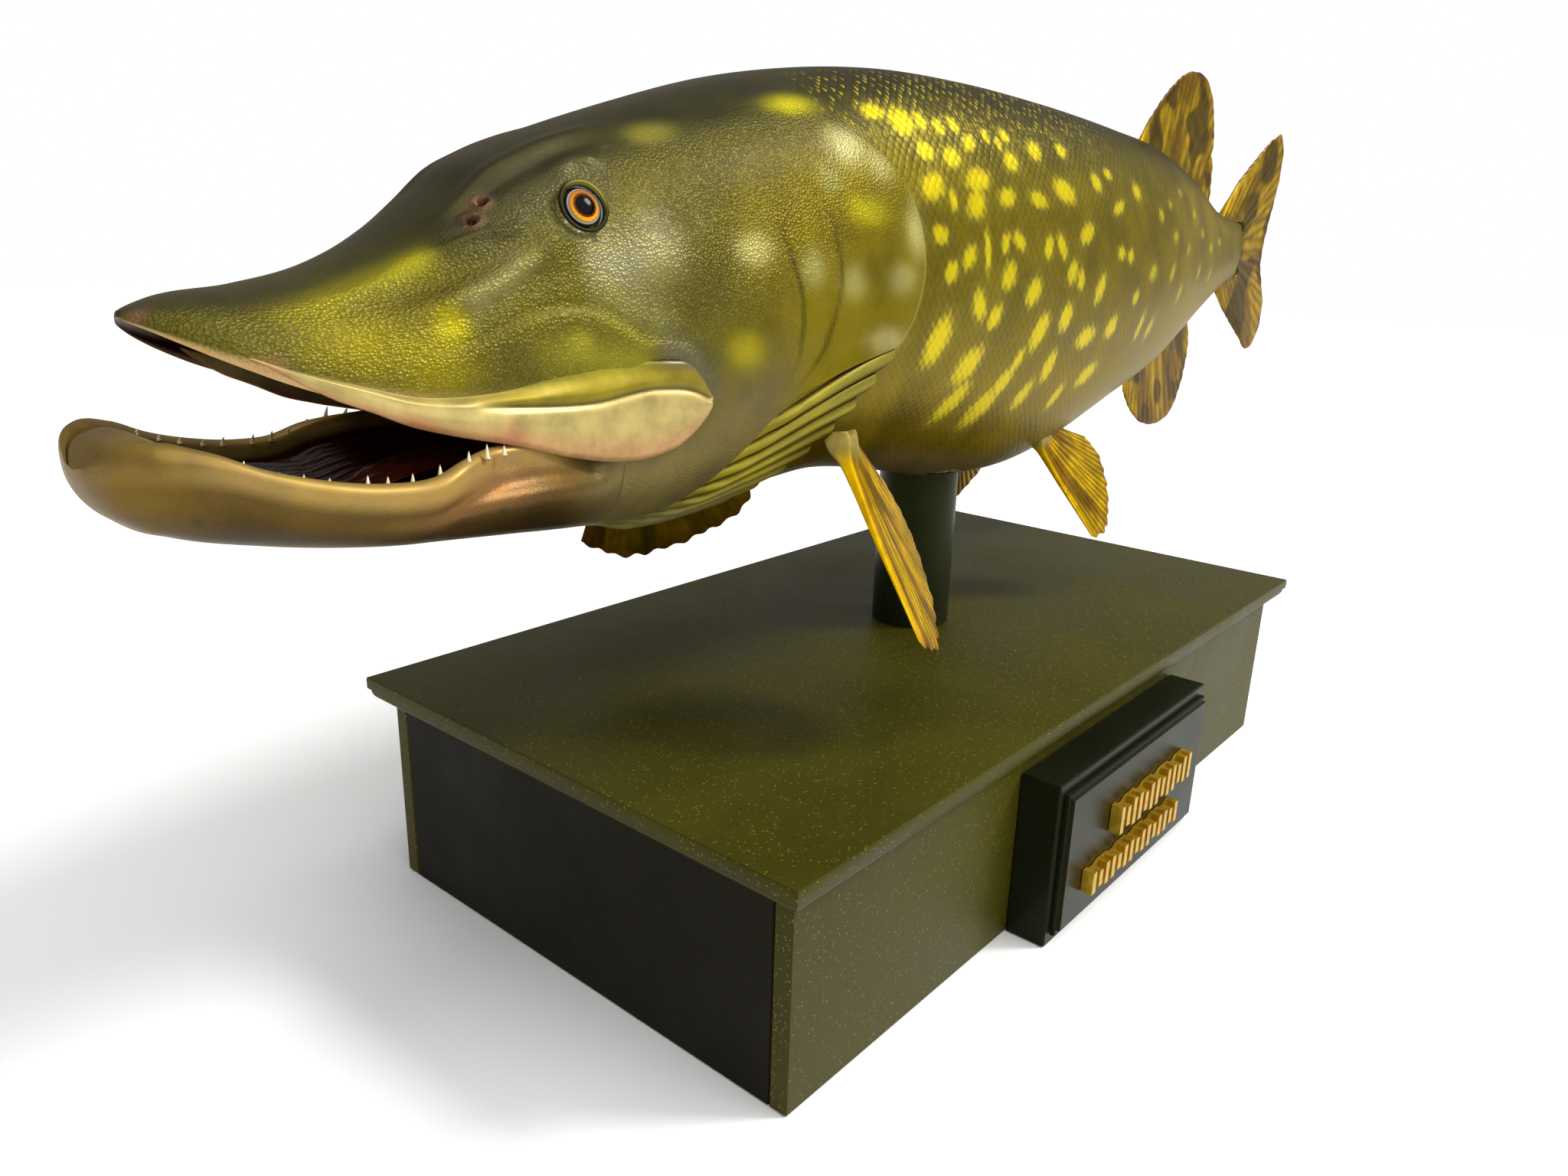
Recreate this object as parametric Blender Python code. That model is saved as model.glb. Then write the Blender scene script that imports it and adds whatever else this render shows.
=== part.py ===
"""A life-size pike model on its display stand.

The fish is a hollow cast model: two body shells, a head casting, a lower jaw, gill covers, glass eyes and
separately cast fins.  It drops onto a square spigot on top of a round post, and the post stands on a boxed
timber plinth with a moulded top board and a nameplate.

Head towards -X, tail towards +X, up +Z.  The origin is the middle of the plinth's underside.
All sizes below are in millimetres; objects are made in metres.
"""

import math

import bmesh
import bpy
import numpy as np
from mathutils import Matrix, Vector

MM = 0.001
GAP = 0.4  # clearance kept between pieces that touch

# --- Plinth ---------------------------------------------------------------------------------------------
BOARD_LENGTH = 700.0
BOARD_WIDTH = 376.0
PLINTH_HEIGHT = 146.4
FASCIA = 8.4  # upright upper edge of the top board
BOARD_THICKNESS = 16.7
OVERHANG = 12.7  # top board beyond the side panels
PANEL = 12.0
CORNER_BLOCK = 28.0

PLATE_BLOCK = (234.0, 28.0, 116.0)  # timber block that carries the nameplate
NAMEPLATE = (222.0, 5.5, 101.0)
NAMEPLATE_CENTRE_X = 4.0
BAR_WIDTH = 5.0
BAR_PITCH = 9.5
BAR_DEPTH = 8.0

# --- Post and the socket the fish drops onto ------------------------------------------------------------
POST_X = 15.0
POST_RADIUS = 30.0
POST_TOP = 269.0
SPIGOT = 26.0  # square steel bar
SPIGOT_BOTTOM = 190.0
SPIGOT_TOP = 336.0
SPIGOT_PLAY = 0.5
RECEIVER_WALL = 4.0
RECEIVER_TOP = 348.0
FLANGE_RADIUS = 58.0
FLANGE_THICKNESS = 6.0
BOLT_RADIUS = 6.0

# --- Fish: lines of the skin, as (x, value) stations -----------------------------------------------------
RIDGE_LINE = ((-538, 404), (-523, 409), (-493, 413), (-459, 421), (-438, 430), (-418, 442), (-402, 453),
              (-388, 464), (-369, 473), (-332, 486), (-281, 502), (-223, 518), (-157, 530), (-81, 538),
              (10, 540), (120, 537), (256, 529), (340, 522), (433, 502), (526, 472), (580, 463), (634, 459))
BELLY_LINE = ((-346, 289), (-300, 285), (-250, 287), (-205, 290), (-150, 291), (-113, 287), (-59, 277),
              (0, 265), (60, 259), (106, 260), (171, 271), (213, 281), (260, 292), (317, 304), (365, 315),
              (430, 339), (504, 368), (571, 390), (634, 402))
HALF_WIDTH = ((-538, 5), (-534, 15), (-527, 25), (-515, 35), (-498, 43), (-466, 51), (-443, 56),
              (-415, 60), (-385, 63), (-346, 68), (-320, 72), (-293, 76), (-260, 80), (-205, 84),
              (-150, 85), (-60, 85), (60, 84), (160, 80), (256, 71), (350, 58), (433, 44), (504, 32),
              (571, 20), (634, 8))
BELT_LINE = ((-538, 400), (-527, 393), (-502, 380), (-466, 366), (-443, 357), (-400, 345), (-361, 338),
             (-330, 342), (-293, 356), (-250, 372), (-205, 384), (-100, 394), (60, 398), (256, 404),
             (433, 417), (526, 422), (634, 430))
FULLNESS = ((-538, 2.0), (-470, 2.1), (-420, 2.4), (-360, 2.7), (-290, 2.5), (-205, 2.25), (0, 2.15),
            (300, 2.1), (634, 2.0))
PALATE_LINE = ((-538, 401), (-520, 397), (-500, 395), (-466, 389), (-430, 378), (-390, 362), (-346, 341))
WALL = 4.0
GILL_OPENING = -205.0  # the head casting ends here and the body shells begin
FLANK_TURN = 79.0  # degrees round from the ridge to the fullest part of the gill cover
JAW_JOINT = -346.0  # the lower jaw ends here against the throat
SNOUT_TIP = -538.0
TAIL_ROOT = 634.0

# --- Lower jaw ------------------------------------------------------------------------------------------
JAW_RIM = ((-562, 347), (-558, 354), (-548, 359), (-532, 356), (-514, 347), (-494, 341), (-470, 338),
           (-450, 340), (-430, 345), (-412, 342), (-385, 333), (-346, 327))
JAW_KEEL = ((-562, 343), (-559, 335), (-549, 323), (-536, 317), (-505, 309), (-471, 303), (-412, 296),
            (-346, 289))
JAW_HALF = ((-562, 7), (-559, 21), (-552, 36), (-538, 47), (-520, 56), (-494, 65), (-458, 72), (-425, 77),
            (-385, 76), (-346, 68))
JAW_FLOOR_DEPTH = ((-562, 1), (-535, 2), (-515, 10), (-480, 20), (-420, 24), (-346, 20))
JAW_WALL = 11.0

# --- Eyes -----------------------------------------------------------------------------------------------
EYE_CENTRE = (-356.0, -53.0, 447.0)
EYE_AXIS = (-0.16, -0.90, 0.40)
EYE_RADIUS = 10.0
EYE_BULGE = 4.0
EYE_SEAT = 6.0


def clear_scene():
    for item in list(bpy.data.objects):
        bpy.data.objects.remove(item, do_unlink=True)


def fair(stations):
    """A smooth curve through (x, value) stations."""
    xs = np.array([station[0] for station in stations], float)
    values = np.array([station[1] for station in stations], float)
    slopes = np.gradient(values, xs)

    def at(x):
        i = int(np.clip(np.searchsorted(xs, x) - 1, 0, len(xs) - 2))
        step = xs[i + 1] - xs[i]
        t = min(max((x - xs[i]) / step, 0.0), 1.0)
        return float(
            values[i] * (1 + 2 * t) * (1 - t) ** 2
            + slopes[i] * step * t * (1 - t) ** 2
            + values[i + 1] * t * t * (3 - 2 * t)
            + slopes[i + 1] * step * t * t * (t - 1)
        )

    return at


ridge_at = fair(RIDGE_LINE)
belly_at = fair(BELLY_LINE)
half_at = fair(HALF_WIDTH)
belt_at = fair(BELT_LINE)
fullness_at = fair(FULLNESS)
palate_at = fair(PALATE_LINE)
jaw_rim_at = fair(JAW_RIM)
jaw_keel_at = fair(JAW_KEEL)
jaw_half_at = fair(JAW_HALF)
jaw_floor_depth_at = fair(JAW_FLOOR_DEPTH)


def eased(value, start, end):
    """0 before start, 1 after end, and smooth between."""
    t = min(max((value - start) / (end - start), 0.0), 1.0)
    return t * t * (3 - 2 * t)


def signed_power(value, power):
    return math.copysign(abs(value) ** power, value)


def low_line(x):
    """The lowest line of the skin: the palate in front of the jaw joint, the belly behind it."""
    return palate_at(x) if x <= JAW_JOINT else belly_at(x)


def skin_point(x, turn, inset=0.0):
    """A point of the skin at x, turned from the ridge (0) down the left flank to the belly (pi)."""
    ridge = ridge_at(x) - inset
    low = low_line(x) + inset
    half = half_at(x) - inset
    belt = belt_at(x)
    power = 2.0 / fullness_at(x)
    across = signed_power(math.sin(turn), power)
    up = signed_power(math.cos(turn), power)
    height = belt + up * (ridge - belt) if up > 0 else belt + up * (belt - low)
    return Vector((x, -half * across, height))


def skin_normal(x, turn):
    """Outward direction of the skin, from two short steps along it."""
    along = skin_point(x + 1.0, turn) - skin_point(x - 1.0, turn)
    around = skin_point(x, turn + 0.02) - skin_point(x, turn - 0.02)
    return along.cross(around).normalized() * -1.0


# --- Mesh helpers ---------------------------------------------------------------------------------------


def finish_mesh(bm, name, finish, smooth_angle=0.6):
    bmesh.ops.recalc_face_normals(bm, faces=bm.faces)
    bmesh.ops.scale(bm, vec=(MM, MM, MM), verts=bm.verts)
    mesh = bpy.data.meshes.new(name)
    bm.to_mesh(mesh)
    bm.free()
    mesh.shade_smooth()
    mesh.set_sharp_from_angle(angle=smooth_angle)
    mesh.materials.append(FINISHES[finish])
    made = bpy.data.objects.new(name, mesh)
    bpy.context.scene.collection.objects.link(made)
    return made


def loft(rings):
    """A closed body through equal rings, capped at both ends."""
    bm = bmesh.new()
    grid = [[bm.verts.new(point) for point in ring] for ring in rings]
    count = len(grid[0])
    for front, back in zip(grid[:-1], grid[1:]):
        for i in range(count):
            j = (i + 1) % count
            bm.faces.new((front[i], front[j], back[j], back[i]))
    bm.faces.new(grid[0])
    bm.faces.new(grid[-1])
    return bm


def sheet(outer, inner):
    """A closed body between two grids of points of the same size."""
    bm = bmesh.new()
    faces = []
    for grid in (outer, inner):
        faces.append([[bm.verts.new(point) for point in row] for row in grid])
    rows, columns = len(outer), len(outer[0])
    for side in faces:
        for i in range(rows - 1):
            for j in range(columns - 1):
                bm.faces.new((side[i][j], side[i + 1][j], side[i + 1][j + 1], side[i][j + 1]))
    a, b = faces
    for i in range(rows - 1):
        for j in (0, columns - 1):
            bm.faces.new((a[i][j], a[i + 1][j], b[i + 1][j], b[i][j]))
    for j in range(columns - 1):
        for i in (0, rows - 1):
            bm.faces.new((a[i][j], a[i][j + 1], b[i][j + 1], b[i][j]))
    return bm


def block(name, low, high, finish, bevel=0.0):
    """A box between two corners, with its edges eased."""
    bm = bmesh.new()
    size = [b - a for a, b in zip(low, high)]
    centre = [(a + b) / 2 for a, b in zip(low, high)]
    bmesh.ops.create_cube(bm, size=1.0)
    bmesh.ops.scale(bm, vec=size, verts=bm.verts)
    bmesh.ops.translate(bm, vec=centre, verts=bm.verts)
    if bevel:
        bmesh.ops.bevel(bm, geom=bm.edges[:], offset=bevel, segments=1, profile=0.5, affect="EDGES")
    return finish_mesh(bm, name, finish)


def turned(name, profile, centre, finish, segments=36):
    """A solid of revolution about a vertical axis, from (radius, z) points going up the outside."""
    bm = bmesh.new()
    rings = []
    for radius, z in profile:
        steps = [2 * math.pi * i / segments for i in range(segments)]
        rings.append([bm.verts.new((centre[0] + radius * math.cos(t), centre[1] + radius * math.sin(t), z))
                      for t in steps])
    for lower, upper in zip(rings[:-1], rings[1:]):
        for i in range(segments):
            j = (i + 1) % segments
            bm.faces.new((lower[i], lower[j], upper[j], upper[i]))
    bm.faces.new(rings[0])
    bm.faces.new(rings[-1])
    return finish_mesh(bm, name, finish)


def cut(target, cutter):
    """Cuts one object's shape out of another."""
    cutter.hide_render = True
    cutter.display_type = "WIRE"
    step = target.modifiers.new("cut_" + cutter.name, "BOOLEAN")
    step.operation = "DIFFERENCE"
    step.object = cutter


def mirrored(points):
    return [[Vector((p.x, -p.y, p.z)) for p in row] for row in points]


# --- Finishes -------------------------------------------------------------------------------------------


def finish(name, colour, roughness, metallic=0.0):
    made = bpy.data.materials.new(name)
    made.use_nodes = True
    shader = made.node_tree.nodes["Principled BSDF"]
    shader.inputs["Base Color"].default_value = (*colour, 1.0)
    shader.inputs["Roughness"].default_value = roughness
    shader.inputs["Metallic"].default_value = metallic
    made.diffuse_color = (*colour, 1.0)
    return made


FINISHES = {
    "olive_skin": finish("olive_skin", (0.16, 0.14, 0.01), 0.32),
    "pale_lip": finish("pale_lip", (0.45, 0.38, 0.22), 0.3),
    "mouth_red": finish("mouth_red", (0.08, 0.018, 0.01), 0.3),
    "tooth": finish("tooth", (0.75, 0.62, 0.42), 0.25),
    "fin_amber": finish("fin_amber", (0.42, 0.24, 0.01), 0.35),
    "eye_glass": finish("eye_glass", (0.25, 0.10, 0.02), 0.05),
    "olive_paint": finish("olive_paint", (0.055, 0.052, 0.018), 0.45),
    "post_paint": finish("post_paint", (0.03, 0.035, 0.018), 0.4),
    "gold_paint": finish("gold_paint", (0.55, 0.36, 0.03), 0.35, 0.6),
    "raw_timber": finish("raw_timber", (0.42, 0.28, 0.15), 0.7),
    "steel": finish("steel", (0.45, 0.45, 0.46), 0.35, 1.0),
}


# --- Fish: head -----------------------------------------------------------------------------------------


def swell(point, centre, reach, height):
    """Height of a soft swelling at a point, given its centre and its reach along each axis."""
    x, y, z = ((abs(p) if i == 1 else p) - c for i, (p, c) in enumerate(zip(point, centre)))
    distance = (x / reach[0]) ** 2 + (y / reach[1]) ** 2 + (z / reach[2]) ** 2
    return height * math.exp(-distance)


def modelled(point):
    """Brow ridges over the eyes, the hollows in front of them and the full cheeks."""
    move = swell(point, (-372, 44, 466), (42, 16, 14), 5.0)
    move -= swell(point, (-412, 46, 418), (30, 20, 16), 4.0)
    move += swell(point, (-300, 74, 400), (46, 30, 40), 3.0)
    side = math.copysign(1.0, point.y) if abs(point.y) > 1.0 else 0.0
    return point + Vector((0.0, side * move * 0.7, move * 0.5 if point.z > 430 else 0.0))


def make_head():
    """Skull, upper jaw, cheeks and throat in one hollow casting, with the eye sockets cut in."""
    nose = [SNOUT_TIP, -536.5, -533, -527, -518, -506]
    snout = list(np.linspace(-490, JAW_JOINT, 11))
    cheek = list(np.linspace(JAW_JOINT + 0.6, GILL_OPENING - GAP, 7))
    rings = []
    for x in nose + snout + cheek:
        ring = [skin_point(x, 2 * math.pi * i / 30) for i in range(30)]
        rings.append([modelled(point) for point in ring])
    head = finish_mesh(loft(rings), "head_casting", "olive_skin")
    for side in (-1, 1):
        cut(head, eye_socket(side))
    cut(head, head_hollow())


def head_hollow():
    """The space behind the mouth, open to the hollow body."""
    rings = []
    for x in np.linspace(JAW_JOINT + 16, GILL_OPENING + 8, 6):
        rings.append([skin_point(x, 2 * math.pi * i / 20, 7.0) for i in range(20)])
    return finish_mesh(loft(rings), "head_hollow_cutter", "olive_skin")


def eye_frame(side):
    """Turns +Z onto the eye's own axis, at the eye's centre; side is -1 on the left."""
    axis = Vector((EYE_AXIS[0], -side * EYE_AXIS[1], EYE_AXIS[2])).normalized()
    turn = Vector((0, 0, 1)).rotation_difference(axis).to_matrix().to_4x4()
    centre = Vector((EYE_CENTRE[0], -side * EYE_CENTRE[1], EYE_CENTRE[2]))
    return Matrix.Translation(centre) @ turn


def eye_socket(side):
    bm = bmesh.new()
    bmesh.ops.create_cone(bm, cap_ends=True, segments=24, radius1=EYE_RADIUS + GAP,
                          radius2=EYE_RADIUS + GAP, depth=30)
    bmesh.ops.translate(bm, vec=(0, 0, 15 - EYE_SEAT - GAP), verts=bm.verts)
    bmesh.ops.transform(bm, matrix=eye_frame(side), verts=bm.verts)
    return finish_mesh(bm, "socket_cutter_left" if side < 0 else "socket_cutter_right", "olive_skin")


def make_eye(side):
    """A glass eye: a low dome on a short cylindrical seat."""
    bm = bmesh.new()
    rings = []
    profile = [(EYE_RADIUS, -EYE_SEAT)]
    for i in range(4):
        t = 0.5 * math.pi * i / 4
        profile.append((EYE_RADIUS * math.cos(t), EYE_BULGE * math.sin(t)))
    for radius, z in profile:
        rings.append([bm.verts.new((radius * math.cos(a), radius * math.sin(a), z))
                      for a in (2 * math.pi * i / 20 for i in range(20))])
    for lower, upper in zip(rings[:-1], rings[1:]):
        for i in range(20):
            bm.faces.new((lower[i], lower[(i + 1) % 20], upper[(i + 1) % 20], upper[i]))
    bm.faces.new(rings[0])
    bm.faces.new(rings[-1])
    bmesh.ops.transform(bm, matrix=eye_frame(side), verts=bm.verts)
    finish_mesh(bm, "eye_left" if side < 0 else "eye_right", "eye_glass")


def jaw_ring(x):
    """One section of the lower jaw: the outside under the keel, then back over the mouth floor."""
    half, rim, keel = jaw_half_at(x), jaw_rim_at(x), jaw_keel_at(x)
    wall = min(JAW_WALL, 0.45 * half)
    floor = min(jaw_floor_depth_at(x), 0.6 * (rim - keel))
    outside = []
    for i in range(13):
        turn = math.pi * i / 12
        bulge = math.sin(turn) ** 0.75
        outside.append(Vector((x, -half * signed_power(math.cos(turn), 0.85), rim - 3 - bulge * (rim - 3 - keel))))
    inside = []
    for i in range(9):
        turn = math.pi * i / 8
        inner = half - wall
        inside.append(Vector((x, inner * math.cos(turn), rim - floor * math.sin(turn) ** 0.6)))
    left_lip = Vector((x, -half + 0.35 * wall, rim))
    right_lip = Vector((x, half - 0.35 * wall, rim))
    return outside + [right_lip] + inside + [left_lip]


def make_lower_jaw():
    tip = [-562, -561, -559, -555, -548, -539, -528]
    rest = list(np.linspace(-514, JAW_JOINT - GAP, 12))
    finish_mesh(loft([jaw_ring(x) for x in tip + rest]), "lower_jaw", "pale_lip")


def palate_height(x, y):
    """Height of the palate arch above a point of the mouth."""
    half, power = half_at(x), fullness_at(x)
    share = min(abs(y) / half, 1.0)
    return belt_at(x) + (palate_at(x) - belt_at(x)) * (1 - share ** power) ** (1 / power)


def make_palate_insert():
    """The moulded roof of the mouth, a thin sheet under the palate."""
    top, bottom = [], []
    for x in np.linspace(-505, -352, 9):
        reach = half_at(x) - 12
        row = [reach * math.cos(math.pi * i / 8) for i in range(9)]
        top.append([Vector((x, y, palate_height(x, y) - GAP)) for y in row])
        bottom.append([Vector((x, y, palate_height(x, y) - 3.0)) for y in row])
    finish_mesh(sheet(top, bottom), "palate_insert", "mouth_red")


def jaw_floor_height(x, y):
    """Height of the mouth floor in the lower jaw."""
    half, rim = jaw_half_at(x), jaw_rim_at(x)
    floor = min(jaw_floor_depth_at(x), 0.6 * (rim - jaw_keel_at(x)))
    inner = half - min(JAW_WALL, 0.45 * half)
    share = min(abs(y) / inner, 1.0)
    return rim - floor * (1 - share * share) ** 0.3


def make_mouth_floor_insert():
    """The moulded floor of the mouth, which the tongue lies on."""
    top, bottom = [], []
    for x in np.linspace(-512, -352, 9):
        reach = jaw_half_at(x) - JAW_WALL - 5.0
        row = [reach * math.cos(math.pi * i / 8) for i in range(9)]
        lift = [3.6 + 1.6 * (y / reach) ** 4 for y in row]
        bottom.append([Vector((x, y, jaw_floor_height(x, y) + 1.6)) for y in row])
        top.append([Vector((x, y, jaw_floor_height(x, y) + up)) for y, up in zip(row, lift)])
    finish_mesh(sheet(top, bottom), "mouth_floor_insert", "mouth_red")


def make_tongue():
    """A flat tongue with a rounded tip and a shallow groove."""
    rings = []
    for s in np.linspace(0, 1, 10):
        x = -496 + 130 * s
        half = 19 * math.sin(math.pi * (0.10 + 0.40 * s)) ** 0.6
        base = jaw_floor_height(x, 0) + 5.6
        ring = []
        for i in range(16):
            turn = 2 * math.pi * i / 16
            groove = 1.5 * math.exp(-(math.cos(turn) / 0.25) ** 2) if math.sin(turn) > 0 else 0.0
            rise = (3.0 + 5.0 * s) * (math.sin(turn) + 1) - groove
            ring.append(Vector((x, half * math.cos(turn), base + 0.5 * rise + 0.02 * half * math.cos(turn) ** 2)))
        rings.append(ring)
    finish_mesh(loft(rings), "tongue", "mouth_red")


def tooth_row(name, path, up, heights):
    """A gum strip along a path, with a needle tooth on every other length of it."""
    bm = bmesh.new()
    rings = []
    for i, point in enumerate(path):
        ahead = path[min(i + 1, len(path) - 1)] - path[max(i - 1, 0)]
        side = ahead.cross(Vector((0, 0, 1))).normalized() * 1.1
        rings.append([bm.verts.new(point + side * a + Vector((0, 0, up * b)))
                      for a, b in ((-1, 0), (1, 0), (1, 1.6), (-1, 1.6))])
    crowns = []
    for i, (near, far) in enumerate(zip(rings[:-1], rings[1:])):
        for j in range(4):
            k = (j + 1) % 4
            face = bm.faces.new((near[j], near[k], far[k], far[j]))
            if j == 2 and i % 2 == 1:
                crowns.append(face)
    bm.faces.new(rings[0])
    bm.faces.new(rings[-1])
    bmesh.ops.recalc_face_normals(bm, faces=bm.faces)
    for i, face in enumerate(crowns):
        bmesh.ops.poke(bm, faces=[face], offset=heights[i % len(heights)])
    finish_mesh(bm, name, "tooth", smooth_angle=0.3)


def make_teeth():
    """Four rows: both sides of the lower jaw, and both sides of the palate."""
    stations = []
    for i in range(11):
        stations.extend((-528 + 10.2 * i, -528 + 10.2 * i + 2.4))
    for side, word in ((-1, "left"), (1, "right")):
        low = [Vector((x, side * (jaw_half_at(x) - 7.5), jaw_rim_at(x) + 1.2)) for x in stations]
        tooth_row("lower_teeth_" + word, low, 1, (3.0, 5.0, 7.0, 4.0))
        high = [Vector((x, side * (half_at(x) - 8.5), palate_height(x, half_at(x) - 8.5) - 1.5))
                for x in (x + 14 for x in stations)]
        tooth_row("upper_teeth_" + word, high, -1, (2.5, 3.5, 2.0))


def make_maxilla(side):
    """The upper jaw's side plate: a long leaf along the lip, ending in a rounded lobe."""
    rings = []
    for s in np.linspace(0, 1, 13):
        x = -446 + 145 * s
        tall = 1.5 + 15.5 * math.sin(math.pi * min(s * 0.62, 0.5)) ** 1.4
        tall *= math.sqrt(max(1 - ((s - 0.80) / 0.205) ** 2, 0.02)) if s > 0.80 else 1.0
        centre = jaw_rim_at(min(x, JAW_JOINT - 1)) + 3.5 + tall + 13 * eased(s, 0.55, 1.0)
        deep = 1.0 + 2.2 * eased(s, 0.0, 0.5)
        inner = max(half_at(x), half_at(min(x + 15, -290))) + 2.2 + deep
        ring = []
        for i in range(12):
            turn = 2 * math.pi * i / 12
            out = signed_power(math.cos(turn), 0.7) * deep
            ring.append(Vector((x, side * (inner + out), centre + tall * signed_power(math.sin(turn), 0.8))))
        rings.append(ring)
    finish_mesh(loft(rings), "maxilla_left" if side < 0 else "maxilla_right", "pale_lip")


# --- Fish: gills ----------------------------------------------------------------------------------------


def skin_sheet(name, rows, columns, place, lift, finish_name, side):
    """A plate that follows the skin: place gives (x, turn) and lift gives its outer height."""
    outer, inner = [], []
    for i in range(rows + 1):
        outer_row, inner_row = [], []
        for j in range(columns + 1):
            s, t = i / rows, j / columns
            x, turn = place(s, t)
            base, normal = modelled(skin_point(x, turn)), skin_normal(x, turn)
            inner_row.append(base + normal * 1.0)
            outer_row.append(base + normal * lift(s, t))
        outer.append(outer_row)
        inner.append(inner_row)
    if side > 0:
        outer, inner = mirrored(outer), mirrored(inner)
    finish_mesh(sheet(outer, inner), name + ("_left" if side < 0 else "_right"), finish_name)


def bowed(turn, reach, upper, lower):
    """An edge of the gill cover: furthest back at FLANK_TURN and bowed forward above and below it."""
    off = math.degrees(turn) - FLANK_TURN
    return reach - (lower if off > 0 else upper) * off * off


def make_gill_cover(side):
    """The bony cover over the gills, in two stepped plates with a rounded rear edge."""

    def place(s, t):
        turn = math.radians(28 + (70 + 6 * (1 - s)) * t)
        front = bowed(turn, -214, 0.022, 0.05)
        back = bowed(turn, -123, 0.035, 0.08)
        return front + (back - front) * s, turn

    def lift(s, t):
        edge = min(s, 1 - s, t, 1 - t)
        step = 0.9 * eased(s, 0.10, 0.20)
        return 1.8 + 2.4 * eased(edge, 0.0, 0.12) - step

    skin_sheet("gill_cover", 10, 9, place, lift, "olive_skin", side)


def make_gill_membrane(side):
    """The folded skin under the gill cover, pleated by the rays inside it."""
    folds = 8

    def place(s, t):
        turn = math.radians(105.5 - 5 * s + (56 - 2 * s) * t)
        front = -245 - 95 * t ** 0.8
        back = -152 - 110 * t
        return front + (back - front) * s, turn

    def lift(s, t):
        pleat = 0.5 - 0.5 * math.cos(2 * math.pi * folds * t)
        taper = eased(s, 0.0, 0.25)
        return 1.9 + (0.6 + 1.9 * pleat) * taper

    skin_sheet("gill_membrane", 5, 3 * folds, place, lift, "olive_skin", side)


# --- Fish: body -----------------------------------------------------------------------------------------


def make_body_shell(side):
    """Half of the hollow body, from the gill opening to the root of the tail."""
    stations = list(np.linspace(GILL_OPENING, 430, 15)) + list(np.linspace(466, TAIL_ROOT, 6))
    around = 12
    rings = []
    for x in stations:
        inset = min(WALL, 0.5 * half_at(x))
        outside = [skin_point(x, math.pi * i / around) for i in range(around + 1)]
        inside = [skin_point(x, math.pi * i / around, inset) for i in range(around, -1, -1)]
        ring = [Vector((p.x, min(p.y, -GAP / 2), p.z)) for p in outside + inside]
        rings.append([Vector((p.x, side * -p.y, p.z)) for p in ring])
    name = "body_shell_left" if side < 0 else "body_shell_right"
    shell = finish_mesh(loft(rings), name, "olive_skin")
    hole = turned("post_hole_" + name, [(POST_RADIUS + 1.0, 235), (POST_RADIUS + 1.0, 300)], (POST_X, 0),
                  "olive_skin")
    cut(shell, hole)


def make_mounting_block():
    """The timber block glued inside the belly, with a square hole for the receiver."""
    bm = bmesh.new()
    low, high = (POST_X - 60, -29, 290), (POST_X + 80, 29, 346)
    hole = SPIGOT / 2 + SPIGOT_PLAY + RECEIVER_WALL + GAP
    outer = [(low[0], low[1]), (high[0], low[1]), (high[0], high[1]), (low[0], high[1])]
    inner = [(POST_X - hole, -hole), (POST_X + hole, -hole), (POST_X + hole, hole), (POST_X - hole, hole)]
    square_frame(bm, outer, inner, low[2], high[2])
    finish_mesh(bm, "mounting_block", "raw_timber")


def square_frame(bm, outer, inner, bottom, top):
    """A straight-sided block with a straight-sided hole through it."""
    loops = []
    for outline in (outer, inner):
        loops.append([[bm.verts.new((x, y, z)) for x, y in outline] for z in (bottom, top)])
    for low, high in loops:
        for i in range(4):
            j = (i + 1) % 4
            bm.faces.new((low[i], low[j], high[j], high[i]))
    (outer_low, outer_high), (inner_low, inner_high) = loops
    for a, b in ((outer_low, inner_low), (outer_high, inner_high)):
        for i in range(4):
            j = (i + 1) % 4
            bm.faces.new((a[i], a[j], b[j], b[i]))


def make_receiver():
    """A square steel tube in the block, welded to the round seat that rests on the post."""
    bm = bmesh.new()
    hole = SPIGOT / 2 + SPIGOT_PLAY
    wall = hole + RECEIVER_WALL
    seat_low, seat_high = POST_TOP + GAP, POST_TOP + GAP + 5
    segments = 32
    start = math.pi / 4

    def circle(z):
        angles = [start + 2 * math.pi * i / segments for i in range(segments)]
        return [bm.verts.new((POST_X + (POST_RADIUS - 0.5) * math.cos(a), (POST_RADIUS - 0.5) * math.sin(a), z))
                for a in angles]

    def square(reach, z):
        points = []
        for i in range(segments):
            a = start + 2 * math.pi * i / segments
            scale = reach / max(abs(math.cos(a)), abs(math.sin(a)))
            points.append(bm.verts.new((POST_X + scale * math.cos(a), scale * math.sin(a), z)))
        return points

    loops = [square(hole, seat_low), circle(seat_low), circle(seat_high), square(wall, seat_high),
             square(wall, RECEIVER_TOP), square(hole, RECEIVER_TOP)]
    for a, b in zip(loops, loops[1:] + loops[:1]):
        for i in range(segments):
            j = (i + 1) % segments
            bm.faces.new((a[i], a[j], b[j], b[i]))
    bmesh.ops.dissolve_limit(bm, angle_limit=0.01, verts=bm.verts, edges=bm.edges)
    finish_mesh(bm, "receiver_tube", "steel")


# --- Fish: fins -----------------------------------------------------------------------------------------


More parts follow.
